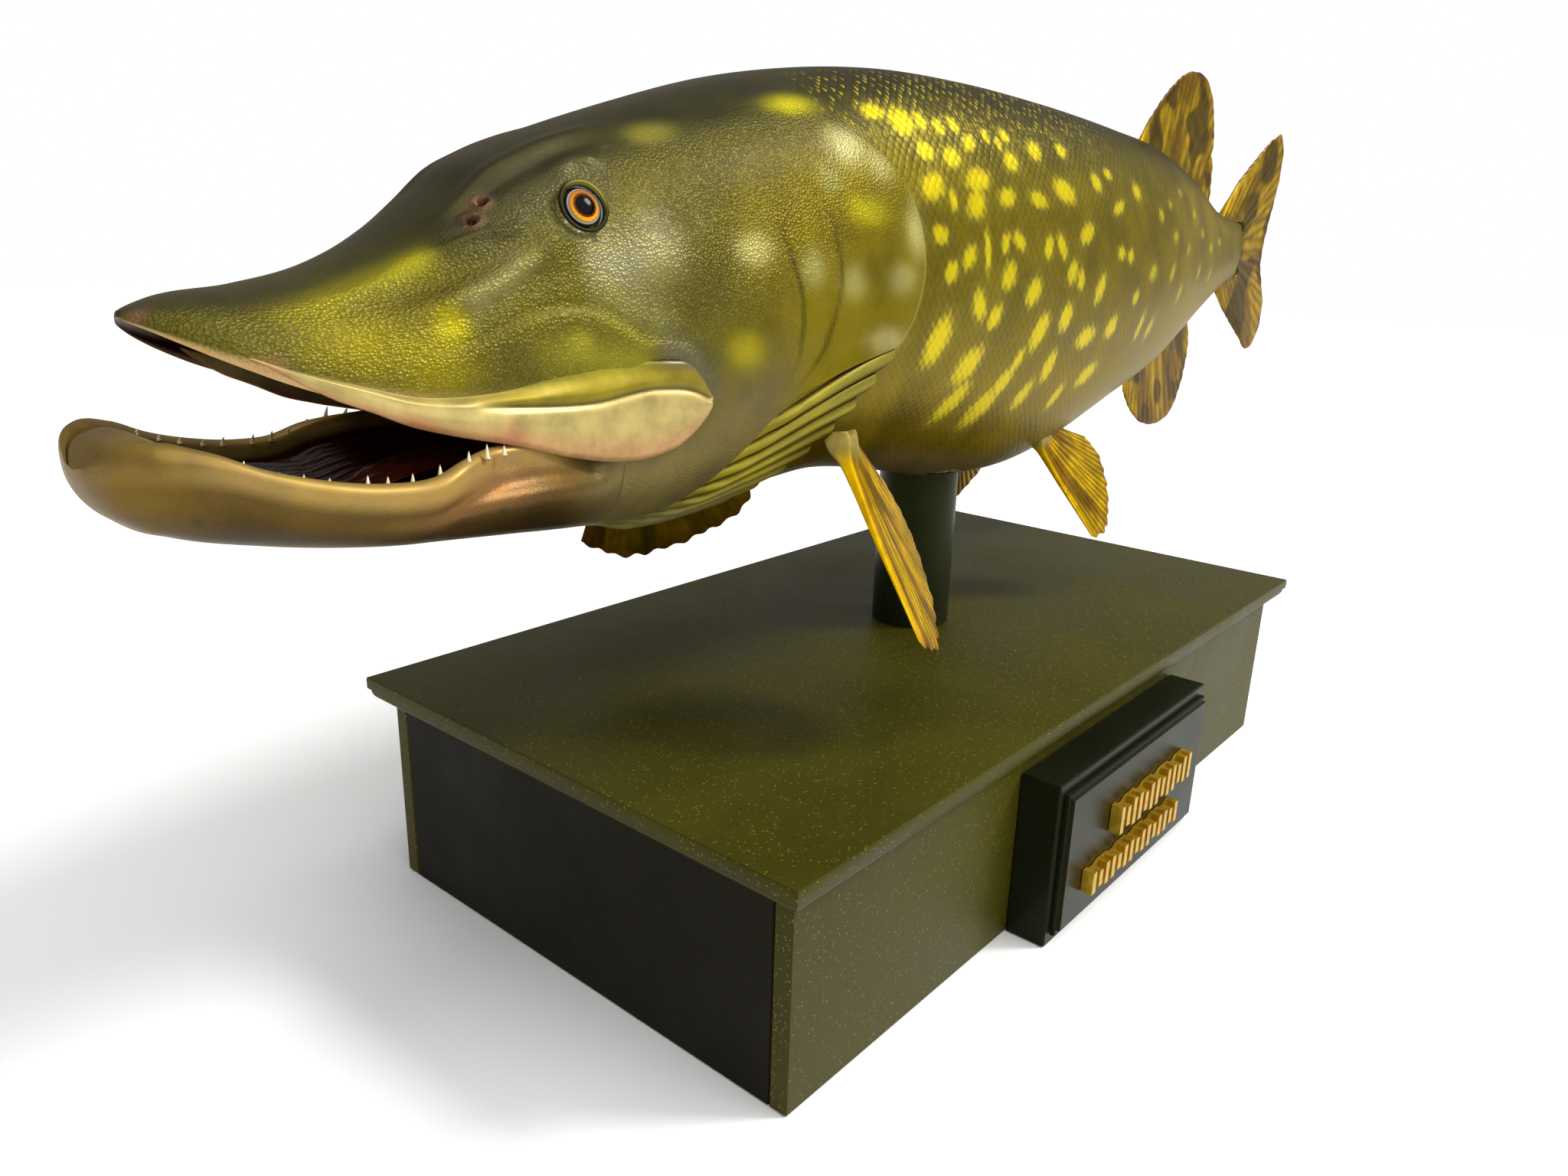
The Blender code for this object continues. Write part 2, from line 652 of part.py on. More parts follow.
def fin(name, root, edge, place, rays, root_thickness, edge_thickness=1.4, tip_share=0.0):
    """A ribbed fin between its root line and its outer edge.

    root and edge give a flat (p, q) point for s from 0 to 1, and place sets a flat point and a height off the
    fin's plane into the fish.
    """
    columns, rows = 2 * rays, 4
    faces = []
    for sign in (1, -1):
        grid = []
        for i in range(columns + 1):
            s = i / columns
            row = []
            for j in range(rows + 1):
                t = j / rows
                a, b = root(s), edge(s)
                flat = (a[0] + (b[0] - a[0]) * t, a[1] + (b[1] - a[1]) * t)
                body = root_thickness + (edge_thickness - root_thickness) * t ** 0.6
                ridge = 0.55 * (1 if i % 2 else -1) * math.sin(math.pi * min(t + 0.12, 1.0)) ** 0.5
                ends = 0.6 + 0.4 * math.sin(math.pi * s) ** 0.5
                row.append(place(flat, sign * (0.5 * body * ends + (ridge if 0 < i < columns else 0.0))))
            grid.append(row)
        faces.append(grid)
    finish_mesh(sheet(*faces), name, "fin_amber", smooth_angle=1.2)


def upright(flat, height):
    return Vector((flat[0], height, flat[1]))


def path(points):
    """A smooth flat path through points, for s from 0 to 1 by the length along it."""
    steps = [0.0]
    for a, b in zip(points[:-1], points[1:]):
        steps.append(steps[-1] + math.dist(a, b))
    first = fair([(step / steps[-1], p[0]) for step, p in zip(steps, points)])
    second = fair([(step / steps[-1], p[1]) for step, p in zip(steps, points)])
    return lambda s: (first(s), second(s))


def make_dorsal_fin():
    root = path([(338, ridge_at(338) + 1.6), (430, ridge_at(430) + 1.6), (524, ridge_at(524) + 1.6)])
    edge = path([(352, 538), (399, 576), (424, 589), (450, 595), (478, 592), (500, 578), (514, 552), (520, 528),
                 (525, 500), (527, 476)])
    fin("dorsal_fin", root, edge, upright, 12, 7.0)


def make_anal_fin():
    root = path([(365, belly_at(365) - 1.6), (430, belly_at(430) - 1.6), (506, belly_at(506) - 1.6)])
    edge = path([(370, 296), (390, 276), (415, 261), (445, 253), (475, 253), (498, 262), (514, 283), (522, 310),
                 (522, 335), (512, 354)])
    fin("anal_fin", root, edge, upright, 10, 6.5)


def make_tail_fin():
    root = path([(564, 470), (600, ridge_at(600) + 1.0), (TAIL_ROOT, ridge_at(TAIL_ROOT) + 1.5),
                 (TAIL_ROOT + 1.0, 445), (TAIL_ROOT + 1.5, 430), (TAIL_ROOT + 1.0, 415),
                 (TAIL_ROOT, belly_at(TAIL_ROOT) - 1.5), (610, belly_at(610) - 1.0), (575, 384)])
    edge = path([(600, 497), (650, 527), (700, 552), (722, 557), (736, 545), (738, 520), (728, 478), (716, 440),
                 (715, 415), (728, 392), (742, 370), (743, 345), (732, 324), (708, 315), (680, 329), (640, 350),
                 (604, 370)])
    fin("tail_fin", root, edge, upright, 16, 9.0, 1.6)


def paired_fin(name, base, ray, chord, side, length, opening, knuckle, rays):
    """A fan fin from a knuckle at the flank; ray is its leading edge and chord the way it opens."""
    along = Vector(ray).normalized()
    across = (Vector(chord) - Vector(chord).dot(along) * along).normalized()
    normal = along.cross(across)
    start = Vector(base)

    def root(s):
        return (3.0 * math.sin(math.pi * s), knuckle * (s - 0.5))

    def edge(s):
        turn = math.radians(opening) * s
        reach = length * (1 - 0.10 * s + 0.03 * math.sin(math.pi * s))
        return (reach * math.cos(turn), reach * math.sin(turn) + knuckle * (s - 0.5) * 0.4)

    def place(flat, height):
        point = start + along * flat[0] + across * flat[1] + normal * height
        return Vector((point.x, point.y if side < 0 else -point.y, point.z))

    fin(name + ("_left" if side < 0 else "_right"), root, edge, place, rays, 9.0)


def make_paired_fins():
    for side in (-1, 1):
        paired_fin("pectoral_fin", (-198, -85, 327), (0.03, -0.475, -0.879), (0.93, 0.38, -0.18), side,
                   146, 66, 22, 10)
        paired_fin("pelvic_fin", (132, -48, 272), (0.42, -0.36, -0.84), (0.97, 0.10, 0.20), side, 104, 50, 22, 8)


# --- Stand ----------------------------------------------------------------------------------------------


def board_outline(inset):
    x, y = BOARD_LENGTH / 2 - inset, BOARD_WIDTH / 2 - inset
    return [(-x, -y), (x, -y), (x, y), (-x, y)]


def make_top_board():
    """The top board: an upright fascia, a quirk, and a rounded moulding that runs back to the panels."""
    top = PLINTH_HEIGHT
    low = top - BOARD_THICKNESS
    profile = [(0.8, top), (0.0, top - 0.8), (0.0, top - FASCIA), (2.6, top - FASCIA), (2.6, top - FASCIA - 1.2)]
    for i in range(6):
        turn = 0.5 * math.pi * i / 5
        profile.append((1.7 + 7.0 * (1 - math.cos(turn)), top - FASCIA - 1.2 - 7.1 * math.sin(turn)))
    rings = []
    for inset, z in profile[:-1] + [(profile[-1][0], low)]:
        rings.append([(x, y, z) for x, y in board_outline(inset)])
    board = finish_mesh(loft(rings), "top_board", "olive_paint", smooth_angle=0.5)
    radius = POST_RADIUS + GAP
    cut(board, turned("board_hole", [(radius, low - 10), (radius, top + 10)], (POST_X, 0), "olive_paint"))


def make_box():
    """The four side panels, the bottom panel between them and the corner blocks."""
    x, y = BOARD_LENGTH / 2 - OVERHANG, BOARD_WIDTH / 2 - OVERHANG
    top = PLINTH_HEIGHT - BOARD_THICKNESS - GAP
    block("front_panel", (-x, -y, 0), (x, -y + PANEL, top), "olive_paint", 0.8)
    block("back_panel", (-x, y - PANEL, 0), (x, y, top), "olive_paint", 0.8)
    inner_y = y - PANEL - GAP
    block("head_end_panel", (-x, -inner_y, 0), (-x + PANEL, inner_y, top), "olive_paint", 0.8)
    block("tail_end_panel", (x - PANEL, -inner_y, 0), (x, inner_y, top), "olive_paint", 0.8)
    inner_x = x - PANEL - GAP
    block("bottom_panel", (-inner_x, -inner_y, 0), (inner_x, inner_y, PANEL), "raw_timber")
    for sx, end in ((-1, "head"), (1, "tail")):
        for sy, face in ((-1, "front"), (1, "back")):
            a = (sx * inner_x, sy * inner_y)
            b = (sx * (inner_x - CORNER_BLOCK), sy * (inner_y - CORNER_BLOCK))
            low = (min(a[0], b[0]), min(a[1], b[1]), PANEL + GAP)
            high = (max(a[0], b[0]), max(a[1], b[1]), top)
            block(f"corner_block_{end}_{face}", low, high, "raw_timber")


def make_nameplate():
    """The block on the front panel, its plate and two rows of plain raised bars."""
    face = -(BOARD_WIDTH / 2 - OVERHANG) - GAP
    wide, deep, tall = PLATE_BLOCK
    x = NAMEPLATE_CENTRE_X
    front = face - deep
    block("nameplate_block", (x - wide / 2, front, 0), (x + wide / 2, face, tall), "olive_paint", 1.0)
    wide, deep, height = NAMEPLATE
    low = 0.5 * (tall - height)
    back, front = front - GAP, front - GAP - deep
    rings = []
    for inset, y in ((0, back), (0, front + 3), (1.0, front + 2), (2.6, front + 2), (3.6, front)):
        left, right = x - wide / 2 + inset, x + wide / 2 - inset
        bottom, top = low + inset, low + height - inset
        rings.append([(left, y, bottom), (right, y, bottom), (right, y, top), (left, y, top)])
    finish_mesh(loft(rings), "nameplate", "olive_paint", smooth_angle=0.3)
    bar_row("raised_bars_lower", x - 84, 15, low + 0.30 * height, 16, front - GAP)
    bar_row("raised_bars_upper", x - 50, 13, low + 0.62 * height, 20, front - GAP)


def bar_row(name, start, count, middle, height, back):
    """A row of plain upright bars on a thin backing strip, every third one shorter."""
    bm = bmesh.new()
    strip = 1.6
    rows = []
    for i in range(2 * count):
        tall = height * (0.72 if (i // 2) % 3 == 1 else 1.0)
        x = start + (i // 2) * BAR_PITCH + (i % 2) * BAR_WIDTH
        rows.append([bm.verts.new((x, back - d, middle + z)) for d, z in
                     ((0, -tall / 2), (strip, -tall / 2), (strip, tall / 2), (0, tall / 2))])
    crowns = []
    for i, (near, far) in enumerate(zip(rows[:-1], rows[1:])):
        for j in range(4):
            k = (j + 1) % 4
            made = bm.faces.new((near[j], near[k], far[k], far[j]))
            if j == 1 and i % 2 == 0:
                crowns.append(made)
    bm.faces.new(rows[0])
    bm.faces.new(rows[-1])
    bmesh.ops.recalc_face_normals(bm, faces=bm.faces)
    for crown in crowns:
        raised = bmesh.ops.extrude_discrete_faces(bm, faces=[crown])["faces"]
        bmesh.ops.translate(bm, vec=(0, strip - BAR_DEPTH, 0), verts=raised[0].verts[:])
    finish_mesh(bm, name, "gold_paint", smooth_angle=0.3)


def make_post():
    """The round post, its square spigot, and the flange and bolt under the top board."""
    board_low = PLINTH_HEIGHT - BOARD_THICKNESS
    r = POST_RADIUS
    post = turned("post", [(r - 0.8, board_low), (r, board_low + 0.8), (r, POST_TOP - 1.2), (r - 1.2, POST_TOP)],
                  (POST_X, 0), "post_paint")
    hole = SPIGOT / 2 + GAP
    slot = block("spigot_hole", (POST_X - hole, -hole, SPIGOT_BOTTOM - GAP), (POST_X + hole, hole, POST_TOP + 20),
                 "steel")
    cut(post, slot)
    bolt_top = board_low + 40
    radius = BOLT_RADIUS + GAP
    cut(post, turned("bolt_hole", [(radius, board_low - 20), (radius, bolt_top + 2)], (POST_X, 0), "steel", 24))
    half = SPIGOT / 2
    block("spigot", (POST_X - half, -half, SPIGOT_BOTTOM), (POST_X + half, half, SPIGOT_TOP), "steel", 1.5)
    top = board_low - GAP
    low = top - FLANGE_THICKNESS
    flange = turned("post_flange", [(FLANGE_RADIUS, low), (FLANGE_RADIUS, top)], (POST_X, 0), "steel")
    cut(flange, turned("flange_hole", [(radius, low - 9), (radius, top + 9)], (POST_X, 0), "steel", 24))
    head = 11.0
    turned("post_bolt", [(head, low - GAP - 8), (head, low - GAP), (BOLT_RADIUS, low - GAP),
                         (BOLT_RADIUS, bolt_top)], (POST_X, 0), "steel", 24)


def main():
    clear_scene()
    make_head()
    make_lower_jaw()
    make_palate_insert()
    make_mouth_floor_insert()
    make_tongue()
    make_teeth()
    for side in (-1, 1):
        make_eye(side)
        make_maxilla(side)
        make_gill_cover(side)
        make_gill_membrane(side)
        make_body_shell(side)
    make_mounting_block()
    make_receiver()
    make_dorsal_fin()
    make_anal_fin()
    make_tail_fin()
    make_paired_fins()
    make_top_board()
    make_box()
    make_nameplate()
    make_post()


main()
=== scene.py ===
"""A life-size pike model on its display stand: the shape and finish of every piece.

Head towards -X, tail towards +X, up +Z; the origin is the middle of the plinth's underside.  Sizes are in
millimetres until a piece is finished, and the flank is laid out by station (x) and turn (degrees from the
ridge of the back, 0, round the left flank to the belly, 180).
"""

import math
from functools import partial

import bpy
import numpy as np
from mathutils import Matrix, Vector


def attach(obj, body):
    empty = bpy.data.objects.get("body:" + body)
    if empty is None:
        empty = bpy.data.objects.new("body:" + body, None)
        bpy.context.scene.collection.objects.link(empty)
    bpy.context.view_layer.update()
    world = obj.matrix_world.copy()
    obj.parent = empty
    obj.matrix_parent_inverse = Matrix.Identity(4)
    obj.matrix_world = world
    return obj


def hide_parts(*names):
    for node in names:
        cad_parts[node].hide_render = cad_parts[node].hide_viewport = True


MM = 0.001
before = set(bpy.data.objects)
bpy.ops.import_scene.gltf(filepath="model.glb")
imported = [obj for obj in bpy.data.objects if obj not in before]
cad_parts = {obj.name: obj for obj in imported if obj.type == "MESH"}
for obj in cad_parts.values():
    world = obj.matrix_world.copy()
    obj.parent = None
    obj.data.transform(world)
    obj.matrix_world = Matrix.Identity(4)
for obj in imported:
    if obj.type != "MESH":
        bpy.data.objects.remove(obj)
bpy.ops.object.select_all(action="DESELECT")
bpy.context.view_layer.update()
rng = np.random.default_rng(7)

# --- Lines of the fish, as (x, value) stations ----------------------------------------------------------
RIDGE_LINE = ((-538, 404), (-523, 409), (-493, 413), (-459, 421), (-438, 430), (-418, 442), (-402, 453),
              (-388, 464), (-369, 473), (-332, 486), (-281, 502), (-223, 518), (-157, 530), (-81, 538),
              (10, 540), (120, 537), (256, 529), (340, 522), (433, 502), (526, 472), (580, 463), (634, 459))
BELLY_LINE = ((-346, 289), (-300, 285), (-250, 287), (-205, 290), (-150, 291), (-113, 287), (-59, 277),
              (0, 265), (60, 259), (106, 260), (171, 271), (213, 281), (260, 292), (317, 304), (365, 315),
              (430, 339), (504, 368), (571, 390), (634, 402))
HALF_WIDTH = ((-538, 5), (-534, 15), (-527, 25), (-515, 35), (-498, 43), (-466, 51), (-443, 56),
              (-415, 60), (-385, 63), (-346, 68), (-320, 72), (-293, 76), (-260, 80), (-205, 84),
              (-150, 85), (-60, 85), (60, 84), (160, 80), (256, 71), (350, 58), (433, 44), (504, 32),
              (571, 20), (634, 8))
BELT_LINE = ((-538, 400), (-527, 393), (-502, 380), (-466, 366), (-443, 357), (-400, 345), (-361, 338),
             (-330, 342), (-293, 356), (-250, 372), (-205, 384), (-100, 394), (60, 398), (256, 404),
             (433, 417), (526, 422), (634, 430))
FULLNESS = ((-538, 2.0), (-470, 2.1), (-420, 2.4), (-360, 2.7), (-290, 2.5), (-205, 2.25), (0, 2.15),
            (300, 2.1), (634, 2.0))
PALATE_LINE = ((-538, 401), (-520, 397), (-500, 395), (-466, 389), (-430, 378), (-390, 362), (-346, 341))
JAW_RIM = ((-562, 347), (-558, 354), (-548, 359), (-532, 356), (-514, 348), (-494, 342), (-470, 338),
           (-452, 338), (-437, 342.5), (-423, 345), (-400, 346), (-370, 344), (-346, 342))
JAW_KEEL = ((-562, 343), (-559, 335), (-549, 323), (-536, 317), (-505, 309), (-471, 303), (-412, 296),
            (-346, 289))
JAW_HALF = ((-562, 7), (-559, 21), (-552, 36), (-538, 47), (-520, 56), (-494, 65), (-458, 72), (-425, 77),
            (-385, 76), (-346, 68))
JAW_FLOOR_DEPTH = ((-562, 0.5), (-535, 1), (-518, 6), (-480, 20), (-420, 24), (-346, 20))
SNOUT_TIP, JAW_TIP, JAW_JOINT, GILL_OPENING, TAIL_ROOT = -538.0, -562.0, -346.0, -205.0, 634.0
SCALES_ROUND = 62  # scales from the ridge to the belly at every station, so they shrink towards the tail

EYE_CENTRE = Vector((-356.0, -53.0, 447.0))
EYE_AXIS = Vector((-0.16, -0.90, 0.40)).normalized()
EYE_RADIUS, SOCKET_RADIUS, EYELID_RADIUS = 8.6, 10.3, 11.3
SHELL_WALL, TAIL_STEM, POST_CLEARANCE = 2.4, 34, 1.2

POST_X, POST_RADIUS, POST_TOP = 15.0, 30.0, 269.0
PLINTH_HEIGHT, BOARD_LENGTH, BOARD_WIDTH, BOARD_THICKNESS, FASCIA = 146.4, 700.0, 376.0, 16.7, 8.4


def fair(stations):
    """A smooth curve through (x, value) stations, for many x at once."""
    xs, values = np.array(stations, float).T
    slopes = np.gradient(values, xs)

    def at(x):
        x = np.asarray(x, float)
        i = np.clip(np.searchsorted(xs, x) - 1, 0, len(xs) - 2)
        step = xs[i + 1] - xs[i]
        t = np.clip((x - xs[i]) / step, 0.0, 1.0)
        return (values[i] * (1 + 2 * t) * (1 - t) ** 2 + slopes[i] * step * t * (1 - t) ** 2
                + values[i + 1] * t * t * (3 - 2 * t) + slopes[i + 1] * step * t * t * (t - 1))

    return at


ridge_at, belly_at, half_at, belt_at = fair(RIDGE_LINE), fair(BELLY_LINE), fair(HALF_WIDTH), fair(BELT_LINE)
fullness_at, palate_at, jaw_rim_at = fair(FULLNESS), fair(PALATE_LINE), fair(JAW_RIM)
jaw_keel_at, jaw_half_at, jaw_floor_depth_at = fair(JAW_KEEL), fair(JAW_HALF), fair(JAW_FLOOR_DEPTH)


def eased(value, start, end):
    t = np.clip((np.asarray(value, float) - start) / (end - start), 0.0, 1.0)
    return t * t * (3 - 2 * t)


def signed_power(value, power):
    return np.sign(value) * np.abs(value) ** power


def skin(x, turn, inset=0.0):
    """Points of the skin at stations x and turns in degrees, on the left flank up to 180 and the right after."""
    x = np.asarray(x, float) + np.zeros_like(turn)
    angle = np.radians(turn)
    low = np.where(x <= JAW_JOINT, palate_at(x), belly_at(x)) + inset
    belt, power = belt_at(x), 2.0 / fullness_at(x)
    across = signed_power(np.sin(angle), power)
    up = signed_power(np.cos(angle), power)
    height = belt + np.where(up > 0, up * (ridge_at(x) - inset - belt), up * (belt - low))
    return np.stack([x, -(half_at(x) - inset) * across, height], axis=-1)


def facing(x, turn):
    """Outward directions of the skin, from short steps along it and round it."""
    after, before = np.where(x < JAW_JOINT - 1, x + 1.0, x + 1.5), np.where(x > JAW_JOINT + 1.5, x - 1.0, x)
    along = skin(after, turn) - skin(before, turn)
    around = skin(x, turn + 1.2) - skin(x, turn - 1.2)
    out = -np.cross(along, around)
    return out / np.maximum(np.linalg.norm(out, axis=-1, keepdims=True), 1e-9)


# Length along the flank counted in scales.
stations = np.linspace(-600.0, 660.0, 1261)
tall = 0.5 * (ridge_at(stations) - belly_at(np.maximum(stations, JAW_JOINT)))
wide = half_at(stations)
girth = 0.5 * math.pi * (3 * (tall + wide) - np.sqrt((3 * tall + wide) * (tall + 3 * wide)))
scale_count = np.concatenate([[0.0], np.cumsum(SCALES_ROUND / np.maximum(girth[:-1], 60.0))])


def lay_of(x, turn):
    return np.stack([np.interp(x, stations, scale_count), turn / 180.0 * SCALES_ROUND], axis=-1)


# --- Making pieces --------------------------------------------------------------------------------------


def linear(hex_colour):
    """A paint colour given as sRGB hex, as linear red, green and blue."""
    parts = [int(hex_colour[i:i + 2], 16) / 255 for i in (1, 3, 5)]
    return np.array([c / 12.92 if c <= 0.04045 else ((c + 0.055) / 1.055) ** 2.4 for c in parts])


def grid(name, columns, rows):
    """A flat grid of a piece's own skin: the object, and s and t from 0 to 1 for each of its points."""
    bpy.ops.mesh.primitive_grid_add(x_subdivisions=columns, y_subdivisions=rows, size=2)
    made = bpy.context.object
    made.name = made.data.name = name
    flat = np.empty(len(made.data.vertices) * 3)
    made.data.vertices.foreach_get("co", flat)
    flat = flat.reshape(-1, 3)
    return made, (flat[:, 0] + 1) / 2, (flat[:, 1] + 1) / 2


def between_caps(s, columns):
    """s with the first and last rows of a grid kept back to close its ends."""
    return np.clip((s * columns - 1) / (columns - 2), 0.0, 1.0)


def place(obj, points, colour=None, lay=None, **amounts):
    """Moves a grid's points to their places in millimetres, and lays its paint and pattern guides on them."""
    mesh = obj.data
    mesh.vertices.foreach_set("co", (np.asarray(points) * MM).reshape(-1))
    if colour is not None:
        coat = mesh.color_attributes.new("paint", "FLOAT_COLOR", "POINT")
        coat.data.foreach_set("color", np.c_[colour, np.ones(len(colour))].reshape(-1))
    if lay is not None:
        corner = np.empty(len(mesh.loops), int)
        mesh.loops.foreach_get("vertex_index", corner)
        guide = mesh.uv_layers[0]
        guide.name = "lay"
        guide.data.foreach_set("uv", lay[corner].reshape(-1))
    for key, amount in amounts.items():
        mesh.attributes.new(key, "FLOAT", "POINT").data.foreach_set("value", np.asarray(amount, float))
    mesh.update()


def pick(*pieces):
    """Selects these pieces alone, the first of them active."""
    bpy.ops.object.select_all(action="DESELECT")
    for piece in pieces:
        piece.select_set(True)
    bpy.context.view_layer.objects.active = pieces[0]


def edit(obj, *steps):
    """Runs edit-mode steps on every part of a piece."""
    pick(obj)
    bpy.ops.object.mode_set(mode="EDIT")
    bpy.ops.mesh.select_all(action="SELECT")
    for step in steps:
        step()
    bpy.ops.object.mode_set(mode="OBJECT")


def turn_outwards():
    bpy.ops.mesh.normals_make_consistent(inside=False)


def closed(obj, sharp=50.0):
    """Merges the edges that meet, turns the faces outwards and shades the piece."""
    edit(obj, lambda: bpy.ops.mesh.remove_doubles(threshold=0.002 * MM), turn_outwards)
    bpy.ops.object.shade_smooth_by_angle(angle=math.radians(sharp))
    return obj


def finish_step(obj, kind, **settings):
    """Adds one modifier to a piece and applies it."""
    pick(obj)
    step = obj.modifiers.new(kind.lower(), kind)
    for key, value in settings.items():
        setattr(step, key, value)
    bpy.ops.object.modifier_apply(modifier=step.name)


def join(name, pieces):
    pick(*pieces)
    bpy.ops.object.join()
    pieces[0].name = pieces[0].data.name = name
    return pieces[0]


def two_sided(name, columns, rows, sides, sharp=50.0):
    """A thin body whose two faces meet at their edges; sides gives place()'s arguments for each face."""
    faces = []
    for sign in (1, -1):
        obj, s, t = grid(name, columns, rows)
        place(obj, **sides(s, t, sign))
        faces.append(obj)
    return closed(join(name, faces), sharp)


def edge_rounding(s, t, width, tall, radius):
    """1 inside a thin piece of this width and height, rounding down to 0 over the radius at its edges."""
    edge = np.minimum(np.minimum(s, 1 - s) * width, np.minimum(t, 1 - t) * tall)
    return np.sqrt(np.clip(1 - (1 - np.clip(edge / radius, 0, 1)) ** 2, 0, 1))


def pinch(points, s):
    """Draws each end row of a grid together to one point."""
    for end in (0.0, 1.0):
        tip = np.isclose(s, end)
        points[tip] = points[tip].mean(axis=0)


def ring_points(radius, angle, height):
    return np.stack([radius * np.cos(angle), radius * np.sin(angle), height], axis=-1)


def bare(s, flaky=0.0):
    """The pattern guides of a part with no scales, spots or flecks."""
    return {"spot": 0 * s, "scaled": 0 * s, "fleck": 0 * s, "flaky": flaky + 0 * s}


def mirror(obj, name):
    """The same piece for the other flank."""
    pick(obj)
    bpy.ops.object.duplicate()
    made = bpy.context.object
    made.name = made.data.name = name
    edit(made, lambda: bpy.ops.transform.mirror(constraint_axis=(False, True, False), center_override=(0, 0, 0)),
         turn_outwards)
    return made


def settle(obj, finish, slot, *nodes, body="fish"):
    """Gives a piece its finish and its place in the assembly."""
    obj.data.materials.clear()
    obj.data.materials.append(finish)
    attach(obj, body)
    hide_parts(*nodes)


def settle_pair(piece, finish, slot, node):
    """Settles a left piece and its mirror image."""
    settle(piece, finish, slot, node + "_left")
    settle(mirror(piece, piece.name.replace("left", "right")), finish, slot, node + "_right")


# --- Painting and modelling strokes ---------------------------------------------------------------------


def line_on_skin(path):
    """A line of (x, turn) points laid on the left flank, closely spaced."""
    x, turn = np.array(path, float).T
    fine = np.linspace(0, 1, 6 * len(x))
    own = np.linspace(0, 1, len(x))
    return skin(np.interp(fine, own, x), np.interp(fine, own, turn))


def away(points, line):
    """How far each point is from a line, where along it the nearest part is, and how far below it the point is."""
    best = np.full(len(points), 1e9)
    along, below = np.zeros(len(points)), np.zeros(len(points))
    for k, (a, b) in enumerate(zip(line[:-1], line[1:])):
        ab = b - a
        t = np.clip((points - a) @ ab / max(ab @ ab, 1e-9), 0, 1)
        gap = points - (a + t[:, None] * ab)
        distance = np.linalg.norm(gap, axis=1)
        nearer = distance < best
        best = np.where(nearer, distance, best)
        along = np.where(nearer, (k + t) / (len(line) - 1), along)
        side = ab[0] * gap[:, 2] - ab[2] * gap[:, 0]
        below = np.where(nearer, -np.sign(side) * distance, below)
    return best, along, below


def fade(along, front, back):
    """1 along a stroke, easing to nothing over its first and last shares."""
    start = eased(along, 0.0, front) if front else 1.0
    end = 1 - eased(along, 1 - back, 1.0) if back else 1.0
    return start * end


def coated(colour, *coats):
    """Paint under further coats, each given as its colour and how much of it there is."""
    for hex_colour, amount in coats:
        amount = np.clip(amount, 0, 1)[:, None]
        colour = colour * (1 - amount) + linear(hex_colour) * amount
    return colour


def folded(turn):
    """The turn from the ridge on whichever flank a point is."""
    return np.where(turn > 180, 360 - turn, turn)


class Surface:
    """One flank's points, with the height and the paint laid on them so far."""

    def __init__(self, x, turn, colour):
        self.x, self.turn, self.colour = x, turn, colour
        self.points = skin(x, folded(turn))
        self.height = np.zeros(len(x))

    def ridge(self, path, width, height, front=0.3, back=0.3):
        distance, along, _ = away(self.points, line_on_skin(path))
        self.height += height * np.exp(-(distance / width) ** 2) * fade(along, front, back)

    def edge(self, path, height, reach, groove=0.5, front=0.2, back=0.2):
        """A plate's edge: raised on the side below or ahead of the line, with a fine groove behind it."""
        distance, along, below = away(self.points, line_on_skin(path))
        raised = height * eased(below, -1.8, 1.8) * np.exp(-(np.maximum(below, 0) / reach) ** 2)
        raised -= groove * np.exp(-((below + 2.2) / 2.2) ** 2)
        self.height += np.where(distance < 3 * reach, raised, 0.0) * fade(along, front, back)

    def pit(self, x, turn, radius, depth, rim):
        distance = np.linalg.norm(self.points - skin(np.array([x]), np.array([turn]))[0], axis=1)
        self.height += rim * np.exp(-((distance - 1.4 * radius) / (0.5 * radius)) ** 2)
        self.height -= depth * (1 - eased(distance, 0.55 * radius, 1.15 * radius))

    def coat(self, *coats):
        self.colour = coated(self.colour, *coats)

    def spray(self, path, width, colour, strength=1.0, front=0.3, back=0.3):
        """A soft airbrush stroke."""
        distance, along, _ = away(self.points, line_on_skin(path))
        self.coat((colour, strength * np.exp(-(distance / width) ** 2) * fade(along, front, back)))

    def oval(self, x, turn, length, tall, tilt=0.0):
        """How far each point is inside a soft oval, tilted up towards the tail."""
        gap = self.points - skin(np.array([x]), np.array([turn]))[0]
        across = np.hypot(gap[:, 1], gap[:, 2]) * np.sign((turn - self.turn))
        lean = math.radians(tilt)
        u = gap[:, 0] * math.cos(lean) + across * math.sin(lean)
        v = -gap[:, 0] * math.sin(lean) + across * math.cos(lean)
        return np.exp(-0.7 * ((2 * u / length) ** 2 + (2 * v / tall) ** 2) ** 1.3)

    def dot(self, x, turn, length, tall, colour, strength):
        self.coat((colour, strength * self.oval(x, turn, length, tall)))

    def raised(self, extra=0.0):
        """The modelled surface, with the right flank put back on its own side."""
        made = self.points + facing(self.x, folded(self.turn)) * (self.height + extra)[:, None]
        made[:, 1] *= np.where(self.turn > 180, -1.0, 1.0)
        return made


